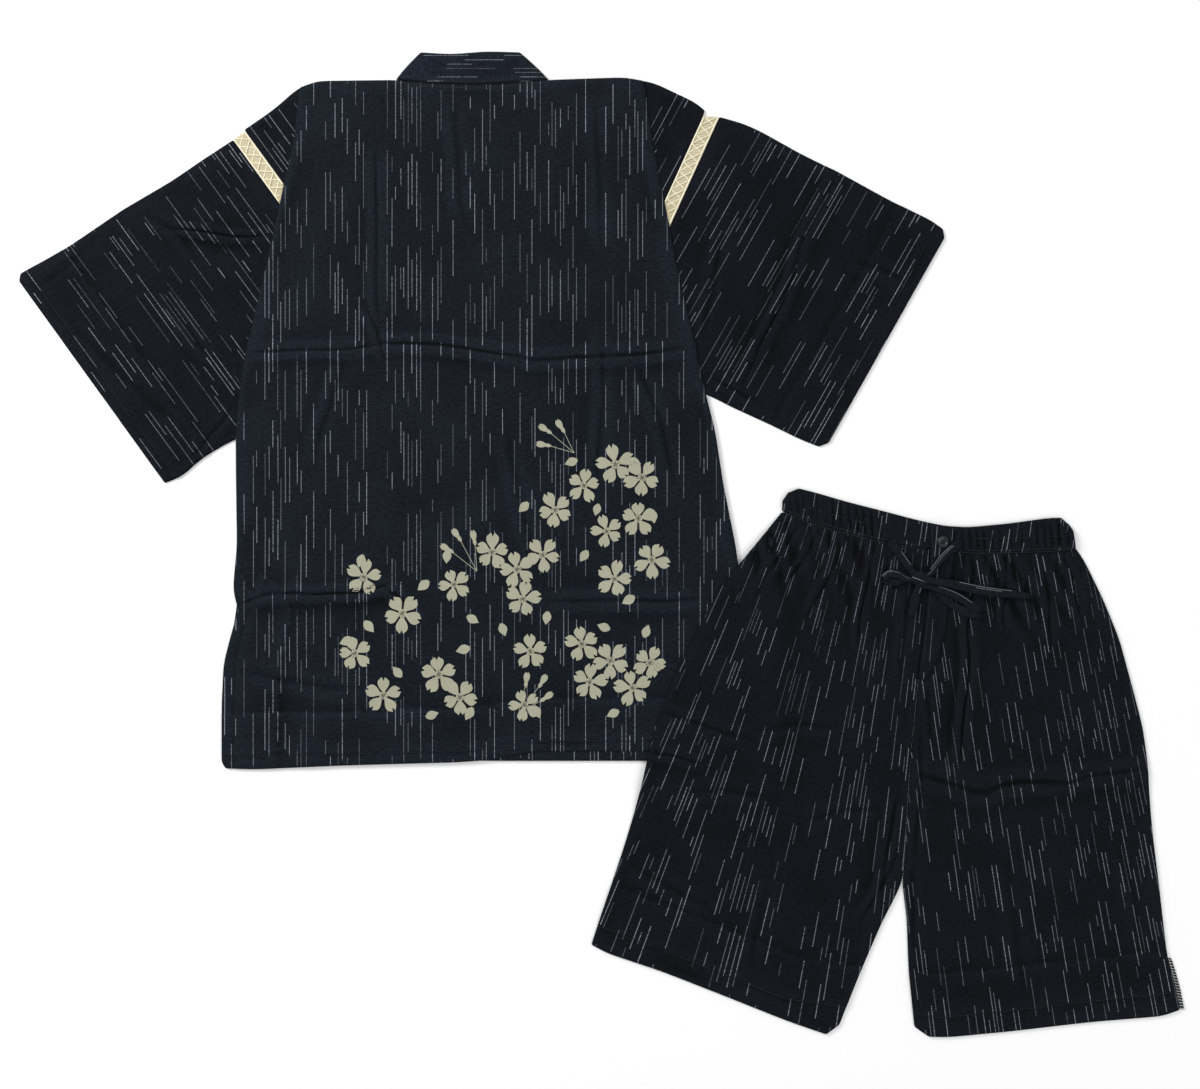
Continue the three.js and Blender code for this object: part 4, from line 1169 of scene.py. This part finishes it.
def tube_faces(rings, sides):
    """Faces of a closed tube whose points come ring by ring."""
    faces = []
    for i in range(rings - 1):
        for k in range(sides):
            a, b = i * sides + k, i * sides + (k + 1) % sides
            faces.append((a, a + sides, b + sides, b))
    faces.append(tuple(range(sides)))
    faces.append(tuple(reversed(range((rings - 1) * sides, rings * sides))))
    return faces


def rod_along(points, radius):
    """A thin closed rod along a run of frame points."""
    rings = []
    for i, p in enumerate(points):
        ahead = heading_at(points, i)
        side = ahead.cross(Vector((0, 0, 1))).normalized()
        up = side.cross(ahead).normalized()
        for k in range(ROD_SIDES):
            a = 2 * math.pi * k / ROD_SIDES
            rings.append(tuple(p + side * (radius * math.cos(a)) + up * (radius * math.sin(a))))
    return rings, tube_faces(len(points), ROD_SIDES)


LACE_WIDE = 16  # mm
LACE_EDGE = 0.8  # from the shoulder to the first thread, in mm
ZIGZAG = 21.0  # length of one wave of the crossing threads, in mm


def make_lace_threads(node, armhole, down, depth, rise):
    """Raised borders, small bars and a crossing pair of zigzag threads along one lace insertion."""
    tree, cover = tree_of(node), tree_of("back")
    down = Vector(down).normalized()
    out = Vector((-down.y, down.x)) * (-1 if node.endswith("left") else 1)

    def place(away, deep, up):
        p = Vector(armhole) + out * away + down * (deep + rise * away / LACE_WIDE)
        q = at(p.x, p.y)
        return Vector((q.x, q.y, surface_z(tree, q.x, q.y, 0.0027) + up * MM))

    def seen(run):
        shown = []
        for p in run:
            if surface_z(cover, p.x, p.y, -1.0) > p.z - 2 * MM:
                break
            shown.append(p)
        return shown

    rods = []
    for away in (1.2, LACE_WIDE - 1.0):
        rods.append(([place(away, LACE_EDGE + k * 2.5, 0.2) for k in range(int(depth / 2.5))], 0.9))
    for sign in (-1, 1):
        run = []
        for k in range(int(depth / 1.2)):
            deep = LACE_EDGE + k * 1.2
            wave = 4 * abs((deep / ZIGZAG) % 1.0 - 0.5) - 1
            away = LACE_WIDE / 2 + sign * wave * (LACE_WIDE / 2 - 1.4)
            run.append(place(away, deep, 0.15 + 0.2 * sign))
        rods.append((run, 0.62))
    for k in range(int(depth / 2.6)):
        rods.append(([place(a, 1.5 + k * 2.6, -0.1) for a in (1.4, LACE_WIDE / 2, LACE_WIDE - 1.2)], 0.26))
    shown = [(seen(run), radius) for run, radius in rods]
    points, faces = collect([rod_along(run, radius * MM) for run, radius in shown if len(run) > 2])
    ride_on(make_object(node + "_threads", points, faces, lace_thread, sharp=80))


make_lace_threads("lace_left", (-371, 434), (40, -55), 256, 0)
make_lace_threads("lace_right", (109, 449), (-40, -88), 258, -7)


def stitch_tree():
    """Stitches laid end to end along the edges of a mesh."""
    tree = bpy.data.node_groups.new("stitch_row", "GeometryNodeTree")
    for name, way, kind in (
        ("Geometry", "INPUT", "Geometry"), ("Pitch", "INPUT", "Float"), ("Stitch Length", "INPUT", "Float"),
        ("Thread Width", "INPUT", "Float"), ("Lean", "INPUT", "Float"), ("Thread", "INPUT", "Material"),
        ("Geometry", "OUTPUT", "Geometry"),
    ):
        tree.interface.new_socket(name, in_out=way, socket_type="NodeSocket" + kind)
    new = tree.nodes.new
    start, end = new("NodeGroupInput"), new("NodeGroupOutput")
    curve = new("GeometryNodeMeshToCurve")
    even = new("GeometryNodeResampleCurve")
    even.mode = "LENGTH"
    bead = new("GeometryNodeMeshIcoSphere")
    bead.inputs["Radius"].default_value = 0.5
    bead.inputs["Subdivisions"].default_value = 2
    size = new("ShaderNodeCombineXYZ")
    shape = new("GeometryNodeTransform")
    tangent = new("GeometryNodeInputTangent")
    align = new("FunctionNodeAlignRotationToVector")
    align.axis = "X"
    angle = new("FunctionNodeAxisAngleToRotation")
    angle.inputs["Axis"].default_value = (0, 0, 1)
    lean = new("FunctionNodeRotateRotation")
    lean.rotation_space = "LOCAL"
    place = new("GeometryNodeInstanceOnPoints")
    real = new("GeometryNodeRealizeInstances")
    paint = new("GeometryNodeSetMaterial")
    for source, output, target, socket in (
        (start, "Geometry", curve, "Mesh"),
        (curve, "Curve", even, "Curve"),
        (start, "Pitch", even, "Length"),
        (start, "Stitch Length", size, 0),
        (start, "Thread Width", size, 1),
        (start, "Thread Width", size, 2),
        (bead, "Mesh", shape, "Geometry"),
        (size, 0, shape, "Scale"),
        (tangent, 0, align, "Vector"),
        (start, "Lean", angle, "Angle"),
        (align, 0, lean, "Rotation"),
        (angle, 0, lean, "Rotate By"),
        (even, "Curve", place, "Points"),
        (shape, "Geometry", place, "Instance"),
        (lean, 0, place, "Rotation"),
        (place, "Instances", real, "Geometry"),
        (real, "Geometry", paint, "Geometry"),
        (start, "Thread", paint, "Material"),
        (paint, "Geometry", end, "Geometry"),
    ):
        tree.links.new(source.outputs[output], target.inputs[socket])
    return tree


STITCHES = stitch_tree()


def sew(name, runs, thread, pitch=3.0, length=2.3, width=0.55, lean=0.0):
    """Rows of stitches along runs of frame points, as one plain mesh."""
    points, edges = [], []
    for run in runs:
        base = len(points)
        points += [tuple(p) for p in run]
        edges += [(base + k, base + k + 1) for k in range(len(run) - 1)]
    mesh = bpy.data.meshes.new(name + "_runs")
    mesh.from_pydata(points, edges, [])
    guide = add_object(name + "_guide", mesh)
    modifier = guide.modifiers.new("stitches", "NODES")
    modifier.node_group = STITCHES
    values = {"Pitch": pitch * MM, "Stitch Length": length * MM, "Thread Width": width * MM,
              "Lean": math.radians(lean), "Thread": thread}
    for item in STITCHES.interface.items_tree:
        if item.item_type == "SOCKET" and item.in_out == "INPUT" and item.name in values:
            modifier[item.identifier] = values[item.name]
    plain = evaluated_mesh(guide, name)
    bpy.data.objects.remove(guide)
    plain.polygons.foreach_set("use_smooth", [True] * len(plain.polygons))
    ride_on(add_object(name, plain))


def on_cloth(node, run, spacing=4.0, up=0.05):
    """A run of layout places, laid on the piece that stands for a node."""
    tree = tree_of(node)
    flat = [at(x, y) for x, y in run]
    places = []
    for a, b in zip(flat, flat[1:]):
        count = max(1, int((b - a).length / (spacing * MM)))
        places += [a.lerp(b, k / count) for k in range(count)]
    laid = []
    for p in places + [flat[-1]]:
        z = surface_z(tree, p.x, p.y, None)
        if z is not None:
            laid.append(Vector((p.x, p.y, z + up * MM)))
    return laid


# Rows of topstitching: the node whose cloth they lie on, and their run in layout millimetres.
TOP_ROWS = [
    ("back", [(-388, -222), (-200, -218), (-130, -216), (-98, -211), (-60, -206), (146, -206)]),
    ("back", [(-368, -74), (-380, -120), (-382, -165), (-382, -228)]),
    ("sleeve_left", [(-592, 275), (-536, 198), (-496, 140), (-446, 73)]),
    ("sleeve_right", [(347, 322), (308, 250), (248, 150), (226, 112)]),
    ("collar", [(-208, 490.5), (-190, 488), (-160, 485.5), (-133, 485), (-104, 486), (-60, 490)]),
    ("back", [(-212, 484), (-190, 481), (-160, 479), (-133, 478.5), (-104, 479.5), (-54, 484)]),
]
BAND_SEAM = [(x, float(seam_height(x))) for x in range(196, 498, 6)]
SHORTS_ROWS = [
    ("shorts_front_right", [(1, -401), (66, -425), (130, -450), (195, -476), (262, -486)]),
    ("shorts_front_left", [(331, -492), (356, -496), (430, -489), (516, -479), (603, -470)]),
    ("waistband", [(x, y + 2.2) for x, y in BAND_SEAM if not 343 < x < 374]),
    ("waistband", [(x, y + 15) for x, y in BAND_SEAM if x < 292]),
    ("waistband", [(x, y + 15) for x, y in BAND_SEAM if x > 380]),
]
FLY_ROWS = [("fly_flap", [(348.5, 19), (349.3, -6), (348.6, -20), (347.2, -45), (344, -85), (339.5, -120)])]
OVERLOCK_LINE = [(599.6, -436), (604.2, -452), (609.2, -471), (613.0, -487)]
OVERLOCK_RIM = [(598.2, -436), (602.4, -452), (607.2, -471), (611.4, -487)]
for name, rows in (("top", TOP_ROWS), ("shorts", SHORTS_ROWS), ("fly", FLY_ROWS)):
    sew(name + "_topstitching", [on_cloth(node, row) for node, row in rows], dark_thread)
for name, line, length, width, lean in (
    ("overlock_stitches", OVERLOCK_LINE, 7.0, 0.62, 64),
    ("overlock_edge", OVERLOCK_RIM, 1.9, 0.34, 0.0),
):
    sew(name, [on_cloth("side_seam_allowance", line, 3.0, 0.1)], white_thread, 3.1, length, width, lean)


# ---- drawstring ----------------------------------------------------------
TAPE_WIDTH = 10.0
TAPE_THICK = 1.3
PER_ROW = 8  # sections of the tape for each row of its route
ON_BAND, ON_CLOTH, BOW = 6.9, 6.4, 8.4
# Route rows: x, y, z in layout millimetres, and the compass direction of the width.
STRING_LEFT = [(305, 4, ON_BAND, 40), (311, -5, ON_BAND, 38), (318, -15, ON_BAND, 38), (325, -25, 7.2, 38)]
STRING_RIGHT = [
    (376, 1, ON_BAND + 1.3, 118), (366, -7, ON_BAND + 1.7, 122), (357, -17, ON_BAND + 0.9, 128),
    (348, -29, 7.6, 135),
]
LOOP_RIGHT = [
    (349, -45, ON_CLOTH, 60), (367, -61, ON_CLOTH - 0.4, 56), (388, -72, ON_CLOTH - 0.2, 60),
    (396, -71, ON_CLOTH + 1.8, 68), (391.5, -65.5, BOW + 0.6, 60), (372, -53, BOW + 0.2, 58),
    (349, -45, BOW + 0.2, 60),
]
TAIL_RIGHT = [
    (348, -38, 11.2, 80), (372, -42, 11.6, 80), (396, -47, 10.6, 78), (424, -51, 7.4, 80),
    (450, -54, ON_CLOTH, 82),
]
LOOP_LEFT = [
    (322, -36, ON_CLOTH, 84), (311, -39, ON_CLOTH, 80), (303, -38.5, ON_CLOTH, 86),
    (298.5, -35, ON_CLOTH + 1.4, 90), (303, -30.5, BOW + 0.4, 88), (311, -30.5, BOW + 0.6, 94),
    (322, -36, BOW + 0.6, 84),
]
TAIL_LEFT = [
    (333, -47, ON_CLOTH, 176), (331, -56, ON_CLOTH - 0.2, 176), (329, -66, ON_CLOTH - 0.4, 174),
    (326, -74, ON_CLOTH - 0.4, 172),
]
# The stretches inside the knot, which join each string to its loop and each loop to its tail.
LEFT_INTO_KNOT = [(331, -32, 8.0, 48), (338, -39, 7.4, 56)]
LEFT_OUT_OF_KNOT = [(336, -42, BOW + 1.6, 60), (331, -38, 10.6, 72), (338, -36.5, 11.2, 78)]
RIGHT_INTO_KNOT = [(341, -34, 8.2, 120), (332, -37, 7.2, 96)]
RIGHT_OUT_OF_KNOT = [(331, -37.5, 8.6, 100), (335, -40, 7.4, 150)]
LEFT_ROUTE = STRING_LEFT + LEFT_INTO_KNOT + LOOP_RIGHT + LEFT_OUT_OF_KNOT + TAIL_RIGHT
RIGHT_ROUTE = STRING_RIGHT + RIGHT_INTO_KNOT + LOOP_LEFT + RIGHT_OUT_OF_KNOT + TAIL_LEFT
# How far each tape is gathered in at each row: 1 lies flat, less is folded together and so thicker.
LEFT_BREADTH = [
    1, 0.95, 0.85, 0.7, 0.6, 0.6, 0.6, 0.8, 0.95, 0.7, 0.85,
    0.9, 0.6, 0.6, 0.6, 0.6, 0.7, 0.9, 1, 0.9, 0.6,
]
RIGHT_BREADTH = [
    0.9, 0.75, 0.6, 0.55, 0.55, 0.55, 0.6, 0.8, 0.85, 0.7,
    0.8, 0.85, 0.6, 0.55, 0.6, 0.7, 0.95, 0.9, 0.6,
]
# Pale threads on the tapes: the route's rows where each starts and stops, and its place across, in mm.
LEFT_PALE = [(1.4, 2.8, 3.0), (10.3, 11.8, 2.6), (17.2, 19.3, 3.4), (17.9, 18.9, 1.6)]
RIGHT_PALE = [(0.7, 2.9, 3.2), (9.2, 10.6, 2.8), (13.6, 15.4, -3.0)]


def smooth_route(rows):
    """A smooth curve through the rows: its places, and the direction of the width at each."""
    rows = np.array(rows, float)
    run = []
    for i in range(len(rows) - 1):
        p0, p1, p2, p3 = rows[max(i - 1, 0)], rows[i], rows[i + 1], rows[min(i + 2, len(rows) - 1)]
        for k in range(PER_ROW):
            t = k / PER_ROW
            square = (2 * p0 - 5 * p1 + 4 * p2 - p3) * t * t
            run.append(0.5 * (2 * p1 + (p2 - p0) * t + square + (3 * p1 - p0 - 3 * p2 + p3) * t ** 3))
    run.append(rows[-1])
    return [Vector(row[:3]) for row in run], [math.radians(row[3]) for row in run]


def tape_sides(places, turns, i):
    """The directions of the tape's width and thickness at one place of its route."""
    ahead = heading_at(places, i)
    side = Vector((math.cos(turns[i]), math.sin(turns[i]), 0))
    side = (side - ahead * side.dot(ahead)).normalized()
    return side, ahead.cross(side).normalized()


def tape_section():
    """A flat tube with a dent along its middle."""
    section = []
    for k in range(18):
        c, s = math.cos(math.pi * k / 9), math.sin(math.pi * k / 9)
        dent = 1 - 0.25 * math.exp(-(c / 0.2) ** 2)
        across = TAPE_WIDTH / 2 * math.copysign(abs(c) ** 0.75, c)
        section.append((across, TAPE_THICK / 2 * math.copysign(abs(s) ** 0.55, s) * dent))
    return section


def closed_cloth(name, points, faces, uv, sharp):
    """A closed piece of the drawstring's cloth, with the given grain and its faces pointing out."""
    coords = np.array(uv)
    piece = make_object(name, points, faces, drawstring_cotton, lambda _: coords, sharp)
    bm = bmesh.new()
    bm.from_mesh(piece.data)
    bmesh.ops.remove_doubles(bm, verts=bm.verts, dist=1e-6)
    bmesh.ops.recalc_face_normals(bm, faces=bm.faces)
    bm.to_mesh(piece.data)
    bm.free()
    return ride_on(piece)


def flat_tape(name, rows, slide, breadth):
    """A flat fabric tube along its route, with its grain along it."""
    section = tape_section()
    places, turns = smooth_route(rows)
    points, uv = [], []
    run = 0.0
    for i, here in enumerate(places):
        run += (here - places[max(i - 1, 0)]).length
        side, up = tape_sides(places, turns, i)
        share = float(np.interp(i / PER_ROW, range(len(breadth)), breadth))
        pinch = share * (1 - 0.06 * math.sin(run / 7.0) ** 2)
        for s, h in section:
            q = here + side * (s * pinch) + up * (h * (1 + 0.8 * (1 - share)))
            points.append(tuple(at(*q)))
            uv.append(((s + slide) * MM, (run + slide * 3) * MM))
    piece = closed_cloth(name, points, tube_faces(len(places), len(section)), uv, 60)
    return piece, [at(*here) for here in places]


def pale_edge(rows, first, last, across):
    """A pale thread along a tape, from one route row to another."""
    places, turns = smooth_route(rows)
    shown = []
    for i in range(int(first * PER_ROW), int(last * PER_ROW) + 1):
        side, up = tape_sides(places, turns, i)
        up = up if up.z > 0 else -up
        shown.append(at(*(places[i] + side * across + up * (TAPE_THICK / 2 - 0.05))))
    return rod_along(shown, 0.3 * MM)


def make_knot():
    """The wrapped middle of the bow: a short band pulled tight round the crossing."""
    middle_x, middle_y, middle_z = 335, -36, 9.4
    half_long, half_wide, half_tall = 7.4, 8.6, 3.1
    turn = 68
    rings, around = 18, 28
    points, uv, faces = [], [], []
    for i in range(rings + 1):
        along = -math.cos(math.pi * i / rings)
        reach = math.sin(math.pi * i / rings) ** 0.62
        for k in range(around):
            a = 2 * math.pi * k / around
            fold = 1 + 0.05 * math.cos(5 * a + 3 * along) + 0.04 * math.sin(9 * a)
            x, y = half_long * along, half_wide * reach * math.cos(a) * fold
            z = middle_z + half_tall * reach * math.sin(a) * fold
            points.append(tuple(at(*turned([(x, y)], middle_x, middle_y, turn)[0], z)))
            uv.append(((x + 12) * MM, (half_wide * a + 30) * MM))
    for i in range(rings):
        for k in range(around):
            a, b = i * around + k, i * around + (k + 1) % around
            faces.append((a, b, b + around, a + around))
    piece = closed_cloth("bow_knot_wrap", points, faces, uv, 70)
    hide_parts("bow_knot")
    return piece


left_tape, left_path = flat_tape("drawstring_left", LEFT_ROUTE, 2, LEFT_BREADTH)
right_tape, right_path = flat_tape("drawstring_right", RIGHT_ROUTE, 9, RIGHT_BREADTH)
knot = make_knot()
pale_runs = [pale_edge(LEFT_ROUTE, *row) for row in LEFT_PALE]
pale_runs += [pale_edge(RIGHT_ROUTE, *row) for row in RIGHT_PALE]
ride_on(make_object("drawstring_pale_threads", *collect(pale_runs), pale_thread, sharp=80))
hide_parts("string_left", "loop_right", "tail_right")
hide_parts("string_right", "loop_left", "tail_left")
for tape, path, start in ((left_tape, left_path, STRING_LEFT[0]), (right_tape, right_path, STRING_RIGHT[0])):
    length = sum((b - a).length for a, b in zip(path, path[1:]))


# ---- button --------------------------------------------------------------
# The turned profile, from the middle of the underside to the middle of the face: shares of the radius
# and of the height.
BUTTON_PROFILE = [
    (0.0, 0.0), (0.80, 0.0), (0.93, 0.10), (1.0, 0.34), (1.0, 0.62), (0.96, 0.86), (0.88, 0.98),
    (0.80, 1.0), (0.72, 0.96), (0.66, 0.78), (0.60, 0.70), (0.54, 0.70), (0.50, 0.66), (0.0, 0.66),
]
PAINTED_HIGHLIGHT_RINGS = ((0.50, 0.60), (0.78, 0.86))  # the rings of the face painted lighter as a painted highlight, from and to, as shares of the radius
BUTTON_SIDES = 64
HOLE_OFF = 1.35 * MM  # each hole's centre from the button's, across and along
HOLE_RADIUS = 0.85 * MM


def bmesh_object(bm, name):
    mesh = bpy.data.meshes.new(name)
    bm.to_mesh(mesh)
    bm.free()
    return add_object(name, mesh)


def turned_blank(low, centre, radius, tall):
    """The button before its holes are drilled."""
    bm = bmesh.new()
    rings = []
    for share, up in BUTTON_PROFILE:
        ring = []
        for k in range(BUTTON_SIDES if share else 1):
            a = 2 * math.pi * k / BUTTON_SIDES
            out = share * radius
            place = (centre.x + out * math.cos(a), centre.y + out * math.sin(a), low.z + up * tall)
            ring.append(bm.verts.new(place))
        rings.append(ring)
    for lower, upper in zip(rings, rings[1:]):
        for k in range(BUTTON_SIDES):
            j = k + 1
            corners = [ring[m % len(ring)] for ring, m in ((lower, k), (lower, j), (upper, j), (upper, k))]
            bm.faces.new(list(dict.fromkeys(corners)))
    bmesh.ops.recalc_face_normals(bm, faces=bm.faces)
    return bmesh_object(bm, "button_blank")


def drills(centre):
    """Four rods where the holes go."""
    bm = bmesh.new()
    for across in (-HOLE_OFF, HOLE_OFF):
        for along in (-HOLE_OFF, HOLE_OFF):
            made = bmesh.ops.create_cone(
                bm, cap_ends=True, segments=16, radius1=HOLE_RADIUS, radius2=HOLE_RADIUS, depth=8 * MM,
            )
            bmesh.ops.translate(bm, verts=made["verts"], vec=centre + Vector((across, along, 0)))
    return bmesh_object(bm, "button_holes")


def make_button():
    low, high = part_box("button")
    centre = (low + high) / 2
    radius, tall = (high.x - low.x) / 2, high.z - low.z
    blank, holes = turned_blank(low, centre, radius, tall), drills(centre)
    cut = blank.modifiers.new("holes", "BOOLEAN")
    cut.operation = "DIFFERENCE"
    cut.object = holes
    cut.solver = "EXACT"
    plain = evaluated_mesh(blank, "shirt_button")
    bpy.data.objects.remove(blank)
    bpy.data.objects.remove(holes)
    plain.materials.clear()
    for finish in (horn, painted_highlight_horn):
        plain.materials.append(finish)
    # Faces on the rings take the lighter copy of the horn: a painted highlight.
    for face in plain.polygons:
        reach = math.hypot(face.center.x - centre.x, face.center.y - centre.y) / radius
        if face.normal.z > UPWARD and any(inner < reach < outer for inner, outer in PAINTED_HIGHLIGHT_RINGS):
            face.material_index = 1
    plain.polygons.foreach_set("use_smooth", [True] * len(plain.polygons))
    plain.set_sharp_from_angle(angle=math.radians(40))
    piece = add_object("shirt_button", plain)
    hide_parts("button")
    ride_on(piece)
    threads = []
    for across in (-HOLE_OFF, HOLE_OFF):
        shares = [k / 6 for k in range(7)]
        run = [(across, (t - 0.5) * 2.9 * MM, tall * (0.24 + 0.12 * math.sin(math.pi * t))) for t in shares]
        threads.append(rod_along([centre + Vector(p) for p in run], 0.32 * MM))
    ride_on(make_object("button_thread", *collect(threads), dark_thread, sharp=80))


make_button()


# ---- stage ---------------------------------------------------------------
FLOOR_HALF = 4.0  # half a side of the floor, in metres


def make_floor():
    mesh = bpy.data.meshes.new("floor")
    corners = [(x * FLOOR_HALF, y * FLOOR_HALF, 0) for x, y in ((-1, -1), (1, -1), (1, 1), (-1, 1))]
    mesh.from_pydata(corners, [], [(0, 1, 2, 3)])
    mesh.materials.append(Nodes("pale_floor").surface((0.92, 0.92, 0.92, 1), 0.9))
    add_object("floor", mesh)


def make_softbox(name, place, size, power):
    """A square light that faces the middle of the set."""
    data = bpy.data.lights.new(name, "AREA")
    data.shape = "SQUARE"
    data.size = size
    data.energy = power
    light = add_object(name, data, place)
    light.rotation_euler = (-Vector(place)).to_track_quat("-Z", "Y").to_euler()


make_floor()
make_softbox("key_softbox", (-1.9, 1.5, 1.25), 0.9, 62)
make_softbox("fill_softbox", (1.8, -1.0, 2.4), 2.0, 26)
world = bpy.data.worlds.new("studio")
world.use_nodes = True
sky = world.node_tree.nodes["Background"]
sky.inputs["Color"].default_value = (1, 1, 1, 1)
sky.inputs["Strength"].default_value = 0.62
bpy.context.scene.world = world
bpy.context.scene.view_settings.view_transform = "Standard"
